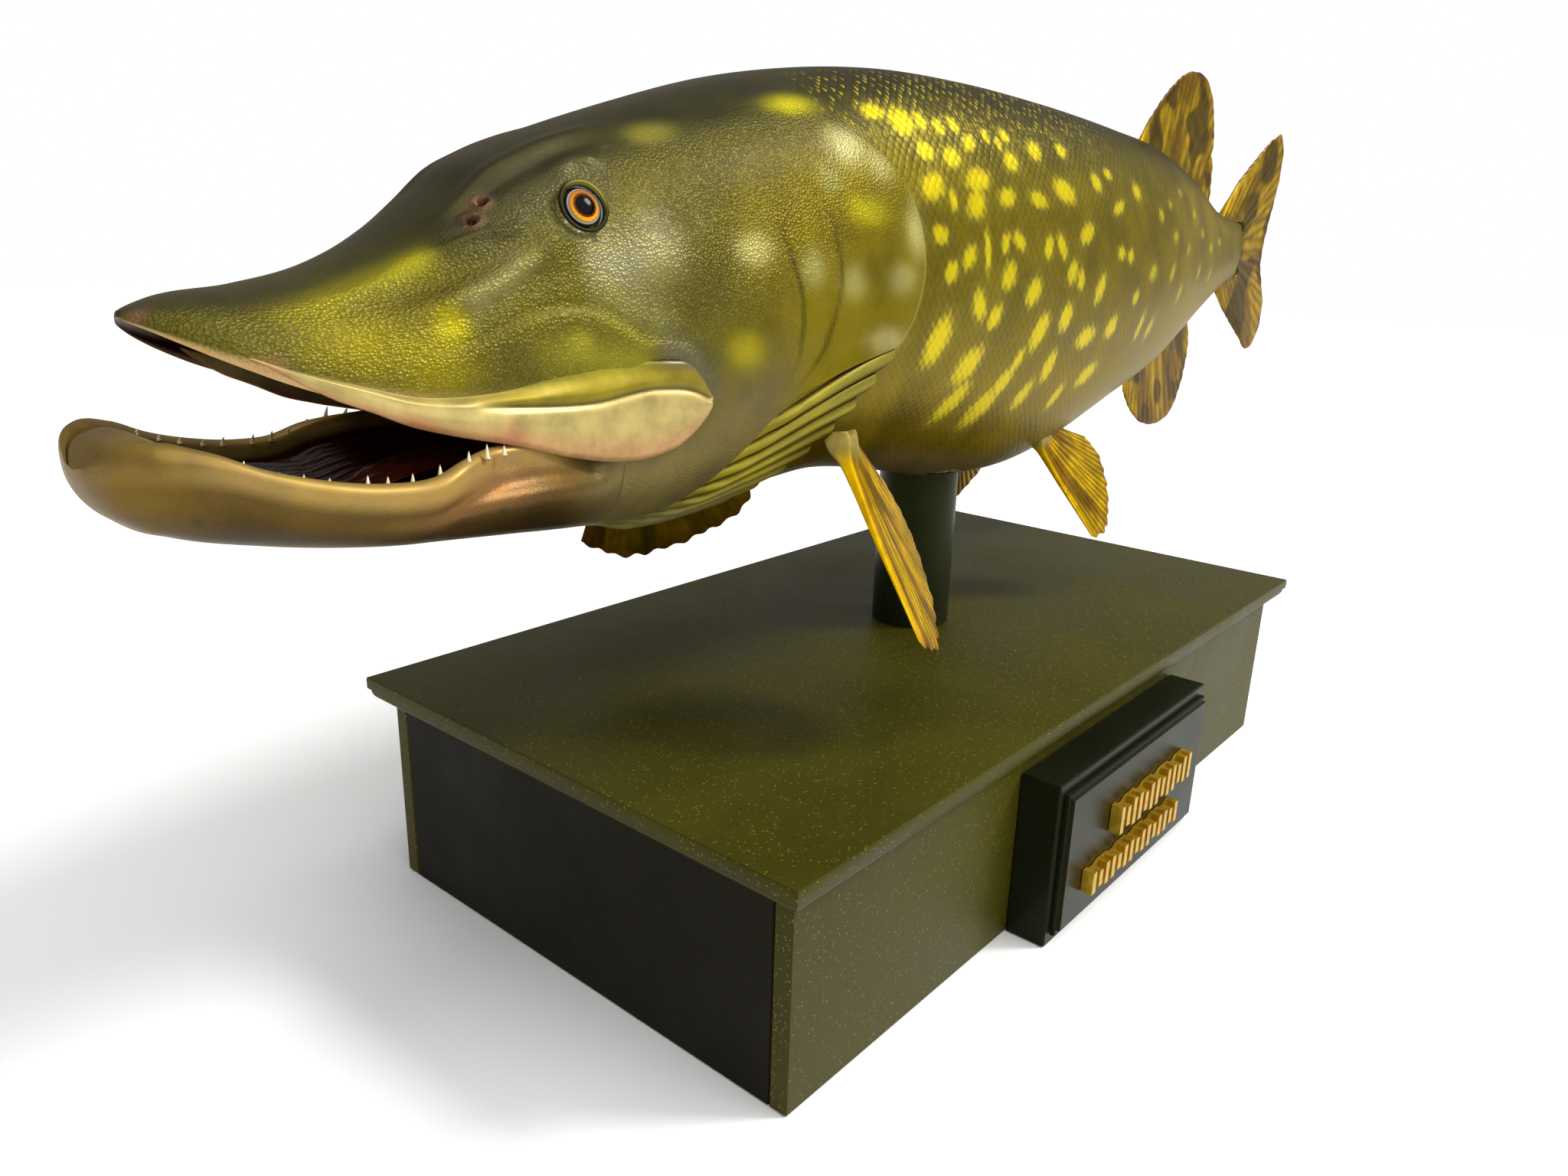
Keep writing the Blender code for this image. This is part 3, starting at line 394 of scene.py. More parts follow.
def flank_colour(x, turn):
    """The airbrushed ground: dark back, olive flank, golden lower flank and pale belly."""
    turn = folded(turn)
    return coated(
        np.tile(linear("#6E6000"), (len(x), 1)),
        ("#524A08", 1 - eased(turn, 38, 62)),
        ("#2E2D12", 1 - eased(turn, 22, 48)),
        ("#857006", eased(turn, 92, 118) * 0.6),
        ("#6B5602", eased(turn, 112, 134) * (1 - eased(x, -60, 60)) * 0.8),
        ("#8A7B44", eased(turn, 118, 142) * eased(x, 20, 180)),
        ("#75643C", eased(turn, 138, 156)),
        ("#84732E", eased(x, 240, 400) * 0.75 * eased(turn, 30, 60)),
        ("#665A2A", eased(x, 420, 600) * 0.6))


# --- Finishes -------------------------------------------------------------------------------------------

SMOOTH = {"interpolation_type": "SMOOTHSTEP"}
TIMES = {"operation": "MULTIPLY"}
OVER, TINT = ({"data_type": "RGBA", "blend_type": how} for how in ("MIX", "MULTIPLY"))


def add(tree, kind, inputs=(), out=0, **settings):
    """Adds a shader node: its settings, and for each input a value or another node's output; gives its output."""
    made = tree.nodes.new("ShaderNode" + kind)
    for key, value in settings.items():
        setattr(made, key, value)
    for key, value in inputs.items() if isinstance(inputs, dict) else enumerate(inputs):
        if isinstance(value, bpy.types.NodeSocket):
            tree.links.new(value, made.inputs[key])
        else:
            made.inputs[key].default_value = value
    return made.outputs if out is None else made.outputs[out]


def rgba(hex_colour, brightness=1.0):
    return (*(linear(hex_colour) * brightness), 1.0)


def material(name, roughness, metallic=0.0, coat=0.0, coat_roughness=0.1, specular=0.5, tint="#FFFFFF"):
    """A new finish with its constants set: the finish, what adds a node to it, and what feeds its shader."""
    made = bpy.data.materials.new(name)
    made.use_nodes = True
    tree = made.node_tree
    sockets = tree.nodes["Principled BSDF"].inputs
    for key, value in (("Roughness", roughness), ("Metallic", metallic), ("Coat Weight", coat),
                       ("Coat Roughness", coat_roughness), ("Specular IOR Level", specular),
                       ("Specular Tint", rgba(tint))):
        sockets[key].default_value = value

    def feed(**outputs):
        for key, output in outputs.items():
            tree.links.new(output, sockets[key.replace("_", " ")])
        return made

    return partial(add, tree), feed


def lacquered_skin():
    """Airbrushed acrylic on resin under clear lacquer: pearl flake in the paint and moulded scales under it."""
    node, feed = material("airbrushed_resin_skin", 0.38, 0.40, 0.06, 0.34, 0.25, "#C2AE38")
    where = node("TexCoord", out="Object")
    paint = node("Attribute", out="Color", attribute_name="paint")
    scaled, flaky, spot, back = (
        node("Attribute", out="Fac", attribute_name=key) for key in ("scaled", "flaky", "spot", "fleck"))
    lay = node("UVMap", uv_map="lay")

    # Diamond rows of scales: each is a low dome whose rear edge stands proud.
    turned_lay = node("Mapping", {"Vector": lay, "Rotation": (0, 0, math.pi / 4)})
    wobble = node("TexNoise", {"Vector": lay, "Scale": 0.35, "Detail": 1.0}, "Color", noise_dimensions="2D")
    bent = node("VectorMath", (wobble, (0.5, 0.5, 0.5), turned_lay), operation="MULTIPLY_ADD")
    cells = node("TexVoronoi", {"Vector": bent, "Scale": 1.0, "Randomness": 0.16}, None, voronoi_dimensions="2D")
    offset = node("VectorMath", (bent, cells["Position"]), operation="SUBTRACT")
    rearward = node("VectorMath", (offset, (0.707, 0.707, 0.0)), "Value", operation="DOT_PRODUCT")
    bowl = node("Math", (cells["Distance"], 2.0), operation="POWER")
    dome = node("Math", (bowl, -1.5, node("Math", (rearward, 0.5), **TIMES)), operation="MULTIPLY_ADD")

    # A spot is solid in its middle and breaks up scale by scale towards its edge.
    fine = node("TexNoise", {"Vector": node("Mapping", {"Vector": where, "Scale": (1, 1, 0.5)}), "Scale": 190.0})
    broken = node("Math", (fine, 0.5, node("Math", (dome, 0.35), **TIMES)), operation="MULTIPLY_ADD")
    shown = node("Math", (spot, node("Math", (broken, 0.25), operation="SUBTRACT")), operation="ADD")
    shown = node("MapRange", (shown, 0.22, 0.86), **SMOOTH)

    # The sprayed ground is slightly cloudy, and its blue varies more finely than its red and green.
    mottle = node("TexNoise", {"Vector": where, "Scale": 26.0, "Detail": 4.0, "Roughness": 0.6})
    cloudy = node("MapRange", (mottle, 0.3, 0.7, 0.80, 1.14), **SMOOTH)
    blue = node("MapRange", (node("TexNoise", {"Vector": where, "Scale": 240.0}), 0.3, 0.7, 0.85, 1.1), **SMOOTH)
    colour = node("Mix", {0: 1.0, 6: paint, 7: node("CombineColor", (cloudy, cloudy, blue))}, 2, **TINT)

    # A fleck of light paint on the rear of each scale of the back, partly the skin's own flecking and partly a painted
    # highlight on the raised rear edge; and a dark edge round every scale.
    chance = node("MapRange", (node("SeparateColor", (cells["Color"],)), 0.35, 0.9), **SMOOTH)
    fleck = node("Math", (node("MapRange", (rearward, 0.10, 0.34), **SMOOTH), chance), **TIMES)
    colour = node("Mix", {0: node("Math", (fleck, back), **TIMES), 6: colour, 7: rgba("#C6AE24")}, 2, **OVER)
    rim = node("MapRange", (cells["Distance"], 0.38, 0.62), **SMOOTH)
    rim = node("Math", (rim, node("Math", (scaled, 0.55), **TIMES)), **TIMES)
    colour = node("Mix", {0: rim, 6: colour, 7: rgba("#26230A")}, 2, **OVER)
    colour = node("Mix", {0: shown, 6: colour, 7: rgba("#CDB806")}, 2, **OVER)

    # Pearl flake: grains about 0.5 mm wide, coarser than the real ones so that they show.
    grains = node("TexVoronoi", {"Vector": node("Mapping", {"Vector": where, "Scale": (1, 1, 0.6)}), "Scale": 2100.0},
                  "Color")
    grain_height, grain_light = (node("SeparateColor", (grains,), channel) for channel in (0, 1))
    bright = node("MapRange", (grain_light, 0.62, 0.95), **SMOOTH)
    bright = node("Math", (bright, node("Math", (flaky, 0.10), **TIMES)), **TIMES)
    # The pale colour mixed into the brightest grains is partly the flake's own pale pigment and partly a painted glint.
    colour = node("Mix", {0: bright, 6: colour, 7: rgba("#C9C08A")}, 2, **OVER)

    # Relief: the scales, then the head's pebbled skin, then the flake.
    pebbles = node("TexVoronoi", {"Vector": node("Mapping", {"Vector": where, "Scale": (0.75, 1, 1)}), "Scale": 780.0})
    relief = {}
    for height, share, strength, deep in ((dome, scaled, 0.55, 1.1), (pebbles, flaky, 0.8, 0.6),
                                          (grain_height, flaky, 0.9, 0.26)):
        relief = {"Normal": node("Bump", {"Height": node("Math", (height, share), **TIMES), "Strength": strength,
                                          "Distance": deep * MM, **relief})}
    return feed(Base_Color=colour, Roughness=node("MapRange", (mottle, 0.2, 0.8, 0.30, 0.44), **SMOOTH), **relief)


def painted_resin(name, roughness, coat, grain=300.0, relief=0.15, metallic=0.0, spread=0.2, specular=0.2,
                  tint="#FFFFFF"):
    """Brush-painted resin: the colour laid on the piece, slightly uneven, under lacquer."""
    node, feed = material(name, roughness, metallic, coat, 0.12, specular, tint)
    where = node("TexCoord", out="Object")
    cloud = node("TexNoise", {"Vector": where, "Scale": 70.0, "Detail": 4.0, "Roughness": 0.6})
    tone = node("MapRange", (cloud, 0.25, 0.75, 1 - spread, 1 + spread), **SMOOTH)
    paint = node("Attribute", out="Color", attribute_name="paint")
    colour = node("Mix", {0: 1.0, 6: paint, 7: node("CombineColor", (tone, tone, tone))}, 2, **TINT)
    height = node("TexNoise", {"Vector": where, "Scale": grain, "Detail": 3.0})
    return feed(Base_Color=colour,
                Roughness=node("MapRange", (cloud, 0.2, 0.8, roughness * 0.8, roughness * 1.2), **SMOOTH),
                Normal=node("Bump", {"Height": height, "Strength": 0.6, "Distance": relief * MM}))


def flecked_paint(name, ground, speck, roughness, density=0.78):
    """Stone-fleck paint: a dark ground with fine lighter specks 1.6 mm apart, a little rough to the touch."""
    node, feed = material(name, roughness, 0.0, 0.02, 0.25, 0.2, "#8C8224")
    where = node("TexCoord", out="Object")
    specks = node("TexVoronoi", {"Vector": where, "Scale": 620.0}, None)
    chosen = node("MapRange", (node("SeparateColor", (specks["Color"],)), density, 1.0), **SMOOTH)
    middle = node("MapRange", (specks["Distance"], 0.45, 0.15), **SMOOTH)
    cloud = node("TexNoise", {"Vector": where, "Scale": 9.0, "Detail": 4.0, "Roughness": 0.6})
    colour = node("Mix", {0: node("MapRange", (cloud, 0.3, 0.7), **SMOOTH), 6: rgba(ground), 7: rgba(ground, 1.35)}, 2,
                  **OVER)
    colour = node("Mix", {0: node("Math", (chosen, middle), **TIMES), 6: colour, 7: rgba(speck)}, 2, **OVER)
    height = node("TexNoise", {"Vector": where, "Scale": 420.0, "Detail": 3.0})
    return feed(Base_Color=colour,
                Roughness=node("MapRange", (cloud, 0.3, 0.7, roughness * 0.9, roughness * 1.15), **SMOOTH),
                Normal=node("Bump", {"Height": height, "Strength": 0.5, "Distance": 0.18 * MM}))


def plain_paint(name, hex_colour, roughness, metallic=0.0):
    """One even coat, with the slight unevenness of a sprayed or planed surface."""
    node, feed = material(name, roughness, metallic, 0.0, 0.2)
    cloud = node("TexNoise", {"Vector": node("TexCoord", out="Object"), "Scale": 180.0, "Detail": 3.0})
    colour = node("Mix", {0: node("MapRange", (cloud, 0.3, 0.7), **SMOOTH), 6: rgba(hex_colour, 0.85),
                          7: rgba(hex_colour, 1.15)}, 2, **OVER)
    return feed(Base_Color=colour,
                Roughness=node("MapRange", (cloud, 0.2, 0.8, roughness * 0.85, roughness * 1.15), **SMOOTH),
                Normal=node("Bump", {"Height": cloud, "Strength": 0.5, "Distance": 0.1 * MM}))


# Cast resin, airbrushed and lacquered: a satin skin that glints green-gold.
SKIN = lacquered_skin()
LIP = painted_resin("hand_painted_lip_resin", 0.36, 0.10, 160.0, 0.2, 0.25, tint="#D8B878")
# Gloss lacquer over red-brown resin looks wet; a tooth is smooth and shows one small highlight.
MOUTH = painted_resin("glossed_mouth_resin", 0.26, 0.3, 220.0, 0.5, spread=0.35)
TOOTH = painted_resin("ivory_tooth_resin", 0.25, 0.4, 400.0, 0.1)
# Thin resin fins in candy gold, so their reflections are gold too.
FIN = painted_resin("airbrushed_fin_resin", 0.40, 0.04, 260.0, 0.3, 0.3, 0.30, 0.2, "#C89A28")
# Painted behind glass: smooth, with a weak reflection so that the iris stays clear.
EYE = painted_resin("painted_glass_eye", 0.10, 0.02, 300.0, 0.02, spread=0.06, specular=0.05)
# Stone-fleck paint hides the timber's grain; the post and the plate are smoother, with fewer specks.
PLINTH = flecked_paint("flecked_olive_timber_paint", "#36330A", "#7A7028", 0.44)
# The end panels get the olive fleck paint darkened to near black: painted shade for the end that faces away from the
# light.
PLINTH_PAINTED_SHADE = flecked_paint("flecked_brown_black_timber_paint", "#0A0702", "#1E180A", 0.55)
POST = flecked_paint("satin_green_black_post_paint", "#1E2210", "#3C4226", 0.36, 0.86)
PLATE = flecked_paint("green_black_plate_paint", "#12150A", "#262A16", 0.34, 0.9)
# Gold paint with metal flake, bare pine inside, and bright steel fittings.
GOLD = plain_paint("gold_leaf_paint", "#C09A26", 0.34, 0.7)
TIMBER = plain_paint("raw_pine_timber", "#B08A58", 0.7)
STEEL = plain_paint("brushed_mild_steel", "#8C8C8E", 0.36, 1.0)


# --- Fish: head -----------------------------------------------------------------------------------------

LEAF_TOP = ((-508, 79.5), (-490, 80), (-470, 81), (-452, 82), (-436, 81.5), (-419, 81), (-398, 80.5),
            (-375, 80), (-349, 80), (-331, 81), (-319, 82), (-309, 83.5), (-302, 86), (-296, 89.5))
LEAF_LOW = ((-508, 382.5), (-502, 379.5), (-480, 370), (-466, 364), (-452, 357.5), (-434, 352),
            (-406, 345), (-379, 337), (-345, 331), (-327, 332), (-314, 336), (-305, 343), (-299, 351), (-296, 360))
LEAF_FRONT, LEAF_LENGTH = -508, 212
LEAF_CREASE = ((-440, 366), (-405, 362.6), (-366, 361), (-327, 365), (-308, 362.5), (-296, 357))
CHEEK_ARCH = ((-452, 67), (-443, 69), (-431, 69.5), (-415, 68.5), (-402, 67.5), (-388, 67.5), (-373, 68),
              (-358, 70), (-345, 74), (-333, 77.5), (-320, 79), (-308, 81), (-301, 84), (-299, 88))
FIRST_ARC = ((-247, 60), (-243, 65), (-236, 74), (-231, 80), (-230, 86), (-233, 91), (-240, 96))
SECOND_ARC = ((-219, 53), (-209, 61), (-203, 69.5), (-200, 77), (-201, 82), (-206, 87), (-213, 92), (-224, 97),
              (-243, 102), (-262, 110), (-288, 122), (-305, 131), (-322, 145))


SKIN_PORES = ((-379, 53), (-353, 54), (-338, 38), (-330, 28), (-318, 27))
NOSTRILS = ((-404, 30.5, 2.7, 3.6), (-396.5, 26.5, 2.5, 3.2))


def model_flank(flank):
    """The ridges, hollows and plate edges modelled into the head and gill region."""
    for path, *shape in (
            (((-424, 17), (-404, 19), (-385, 17), (-360, 15), (-335, 15), (-310, 18)), 5.0, 1.7),
            (((-415, 25), (-395, 25), (-372, 24), (-350, 22), (-325, 24)), 5.5, -2.0),
            (((-366, 33), (-360, 30), (-351, 28.5), (-342, 30), (-335, 34)), 4.5, 2.2),
            (((-507, 44), (-492, 41), (-476, 38.5), (-457, 35), (-437, 30.5), (-425, 31.5), (-418, 33.5)),
             5.0, 1.8, 0.5, 0.3),
            (((-430, 31.2), (-418, 33.5), (-408, 36), (-400, 38), (-396, 41), (-391.5, 43), (-387, 43.5), (-383, 40)),
             1.9, 1.7, 0.3, 0.15),
            (((-470, 46), (-440, 44), (-412, 46), (-390, 48), (-372, 49)), 6.5, -1.9),
            (((-455, 50), (-430, 54), (-418, 54), (-397, 54.5), (-373, 51.5), (-352, 54)), 6.5, 2.4),
            (((-452, 62), (-430, 60), (-405, 60), (-380, 59), (-360, 61)), 5.0, -1.2),
            (((-345, 56), (-325, 60), (-300, 65), (-275, 66)), 17.0, 2.6),
            (((-340, 78), (-318, 84), (-303, 92), (-296, 98)), 9.0, -2.2)):
        flank.ridge(path, *shape)
    flank.edge(CHEEK_ARCH, 1.5, 14.0, 0.6, 0.3, 0.05)
    flank.edge(FIRST_ARC, -1.2, 9.0, 0.5, 0.4, 0.35)
    flank.edge(SECOND_ARC[:9], -1.5, 12.0, 0.7, 0.3, 0.2)
    for nostril in NOSTRILS:
        flank.pit(*nostril, 1.3)
    for pore in SKIN_PORES[:2] + ((-366, 56),) + SKIN_PORES[2:] + ((-447, 56), (-468, 52)):
        flank.pit(*pore, 1.2, 0.7, 0.2)


def paint_flank(flank):
    """The airbrushed head: dark crown, olive cheeks with soft painted highlight patches, pale lips, a few blurred spots
    and painted shade in the gill-plate creases.
    """
    x, turn = flank.x, folded(flank.turn)
    flank.coat(("#35331C", (1 - eased(turn, 20, 40)) * (1 - eased(x, -205, -120))),
               ("#55502A", (1 - eased(x, -480, -400)) * 0.35),
               ("#4E4A16", (1 - eased(x, -300, -225)) * eased(turn, 36, 60) * 0.8),
               ("#6A5E38", eased(turn, 82, 96) * (1 - eased(x, -262, -215)) * 0.9))
    for path, *stroke in (
            (((-507, 46), (-476, 38), (-452, 32), (-430, 33), (-418, 37)), 7.0, "#8C8414", 0.85),
            (((-500, 57), (-474, 60), (-452, 66), (-436, 73), (-405, 74)), 15.0, "#86790A", 0.85),
            (((-400, 76), (-370, 77), (-345, 80), (-320, 82)), 9.0, "#86801C", 0.7),
            (((-372, 44), (-356, 51), (-340, 44)), 7.0, "#6E6630", 0.6),
            # Painted highlight along the cheek arch.
            (CHEEK_ARCH[4:11], 3.0, "#8E8420", 0.3),
            (((-425, 34), (-395, 38), (-356, 38), (-318, 44)), 19.0, "#45412A", 0.7),
            # Painted highlight: a pale sheen on the cheek.
            (((-368, 58), (-338, 61), (-300, 58)), 15.0, "#A8A270", 0.62),
            # Painted highlight: a pale band under the eye.
            (((-428, 57), (-402, 55), (-378, 51)), 6.0, "#96905A", 0.5),
            (((-352, 66), (-330, 72), (-312, 80)), 9.0, "#7C7848", 0.5),
            (((-330, 77), (-305, 84), (-292, 92)), 9.0, "#5E594A", 0.75, 0.3, 0.2)):
        flank.spray(path, *stroke)
    lip = eased(turn, 79, 85) * (1 - eased(x, -440, -390) * 0.9) * (1 - eased(x, -330, -300))
    flank.coat(("#A8925A", lip * 0.8),
               ("#CDA878", eased(turn, 83, 88) * (1 - eased(x, -480, -400)) * 0.6))
    for spot_x, spot_turn in ((-536, 60), (-504, 84), (-452, 87), (-410, 88)):
        flank.dot(spot_x, spot_turn, 18, 7, "#B07A5C", 0.4)
    for *spot, colour in (
            (-207, 31, 34, 13, "#C8BC10"), (-303, 27, 26, 13, "#8C8430"), (-180, 48, 26, 20, "#A49E68"),
            (-157, 55, 18, 16, "#8E8850"), (-222, 76, 17, 17, "#9A9450"), (-174, 66, 27, 14, "#B8AC14"),
            (-263, 68, 22, 14, "#A8A060"), (-190, 81, 19, 16, "#9A9250"), (-147, 82, 22, 15, "#A09A58"),
            (-132, 71.5, 18, 26, "#B4AC6A"), (-160, 95, 30, 13, "#A39A62"), (-271, 86, 22, 15, "#A09212"),
            (-428, 61, 14, 14, "#A89C08"), (-369, 75, 13, 11, "#928A20"), (-200, 56, 16, 14, "#7E7A3C")):
        flank.dot(*spot, colour, 0.78)
    for nostril_x, nostril_turn, *_ in NOSTRILS:
        flank.dot(nostril_x, nostril_turn, 9, 8, "#8A5A4A", 0.6)
        flank.dot(nostril_x, nostril_turn, 4.4, 4.2, "#2A120C", 0.95)
    for pore in SKIN_PORES:
        flank.dot(*pore, 3.4, 3.4, "#3A3826", 0.8)
    # Painted shade: a dark line along each gill-plate crease.
    for arc in (FIRST_ARC, SECOND_ARC[:9]):
        flank.spray(arc, 1.5, "#2C2A08", 0.7, 0.35, 0.3)


def skin_extras(x, turn):
    """Where the skin is scaled, flecked and pearled."""
    turn = folded(turn)
    body = eased(x, -190, -120)
    return {
        "scaled": body * (0.45 + 0.55 * (1 - eased(turn, 40, 75))) * (1 - 0.5 * eased(x, 200, 420)),
        "fleck": eased(x, -200, -150) * (1 - eased(turn, 38, 50)) * (1 - eased(x, 60, 260)) * eased(turn, 8, 20),
        "flaky": (1 - eased(x, -250, -120)) * eased(turn, 24, 44) * (1 - eased(turn, 72, 92) * 0.8) + 0.12,
    }


def make_head():
    """Skull, upper jaw, cheeks and throat in one casting, with the eye sockets cut in."""
    obj, s, t = grid("head", 258, 344)
    x = SNOUT_TIP + (GILL_OPENING - SNOUT_TIP) * between_caps(s, 258) ** 1.35
    ahead, behind = x[x <= JAW_JOINT].max(), x[x > JAW_JOINT].min()
    x = np.where(np.isclose(x, ahead, atol=0.01), JAW_JOINT, x)
    x = np.where(np.isclose(x, behind, atol=0.01), JAW_JOINT + 0.05, x)
    turn = 360.0 * t
    flank = Surface(x, turn, flank_colour(x, turn))
    model_flank(flank)
    paint_flank(flank)
    down = folded(turn)
    under = x <= JAW_JOINT + 0.02
    roof = under & (down > 91)
    flank.height *= 1 - eased(down, 84, 92) * under
    flank.height *= 1 - eased(x, -214, GILL_OPENING)
    flank.coat(("#2E0D07", np.where(roof, eased(down, 91, 101), 0.0)))
    extras = skin_extras(x, turn)
    extras["flaky"] = np.where(roof, 0.0, extras["flaky"])
    points = flank.raised()
    pinch(points, s)
    points[np.isclose(s, 0.0), 0] -= 0.6
    place(obj, points, flank.colour, lay_of(x, turn), spot=0 * s, **extras)
    closed(obj)
    for side in (1, -1):
        cut_socket(obj, side)
        obj = join(obj.name, [obj, make_eyelid(side)])
    return obj


def seated_on_eye(obj, side):
    """Closes a round piece made about +Z and seats it on the eye's own axis; side is 1 on the left flank."""
    closed(obj)
    turn = Vector((0, 0, 1)).rotation_difference(EYE_AXIS).to_matrix().to_4x4()
    obj.data.transform(Matrix.Diagonal((1, side, 1, 1)) @ Matrix.Translation(EYE_CENTRE * MM) @ turn)
    edit(obj, turn_outwards)
    return obj


def cut_socket(head, side):
    """Cuts a round socket and lays near-black paint on the new wall: painted shade for the recess round the eye."""
    socket, s, t = grid("socket", 6, 72)
    row = np.round(s * 6).astype(int)
    radius = SOCKET_RADIUS * np.array([0.0, 0.6, 1.0, 1.0, 1.0, 0.6, 0.0])[row]
    height = np.array([-4.5, -4.5, -4.0, 4.0, 12.0, 12.0, 12.0])[row]
    place(socket, ring_points(radius, 2 * math.pi * t, height), np.tile(linear("#17150A"), (len(s), 1)),
          np.zeros((len(s), 2)), **bare(s))
    seated_on_eye(socket, side)
    finish_step(head, "BOOLEAN", object=socket, operation="DIFFERENCE", solver="EXACT")
    bpy.data.objects.remove(socket, do_unlink=True)


def make_eyelid(side):
    """The roll of skin round the socket, fuller in front and above, and painted lighter there as a painted highlight on
    its lit side.
    """
    lid, s, t = grid("eyelid_roll", 12, 72)
    angle, over = 2 * math.pi * t, 2 * math.pi * s
    light = np.sin(angle + 0.6)
    thick = 1.3 + 0.4 * light
    # Painted highlight: the dark lid is painted lighter on its front, upper and outer faces, where light falls.
    colour = coated(linear("#24220E"), ("#6A642C", eased(light, 0.2, 0.9) * eased(np.sin(over), -0.2, 0.8) * 0.8))
    place(lid, ring_points(EYELID_RADIUS + thick * np.cos(over), angle, 0.6 + thick * np.sin(over)), colour,
          np.zeros((len(s), 2)), **bare(s))
    return seated_on_eye(lid, side)


def make_eye(name, side):
    """A painted glass eye: black pupil, burnt-orange iris going to gold at the rim, and a silver ring; the gold is
    brighter on one side as painted light through the glass, and the margin that sinks into the socket is near black as
    painted shade.
    """
    obj, s, t = grid(name, 64, 96)
    radius = EYE_RADIUS * np.minimum(s / 0.86, 1.0)
    angle = 2 * math.pi * t
    share = radius / EYE_RADIUS
    height = 3.4 * np.sqrt(np.maximum(1 - share ** 2, 0)) - 0.8 - np.maximum(s - 0.86, 0) * 25
    flare = 0.5 + 0.5 * np.sin(9 * angle + 2 * np.sin(23 * angle))
    # The gold is boosted on one side only: painted light, where light through the glass would brighten the iris.
    low = 0.5 + 0.5 * np.sin(angle + math.radians(200))
    colour = coated(linear("#070504"), *(
        (ring, (eased(share, start - 0.015, start + 0.015) * (1 - eased(share, end - 0.015, end + 0.015)) * amount))
        for start, end, ring, amount in (
            (0.56, 0.86, "#8E4208", 1.0), (0.56, 0.70, "#3A1203", 0.5 + 0.4 * flare),
            (0.66, 0.86, "#E09A22", 0.25 + 0.7 * low), (0.855, 0.885, "#2A1C10", 1.0),
            (0.885, 0.965, "#ABA79C", 1.0), (0.965, 1.2, "#0E0C08", 1.0))))
    points = ring_points(radius, angle, height)
    points[np.isclose(s, 0.0)] = (0, 0, height.max())
    points[np.isclose(s, 1.0)] = (0, 0, height.min() - 1.0)
    place(obj, points, colour)
    return seated_on_eye(obj, side)


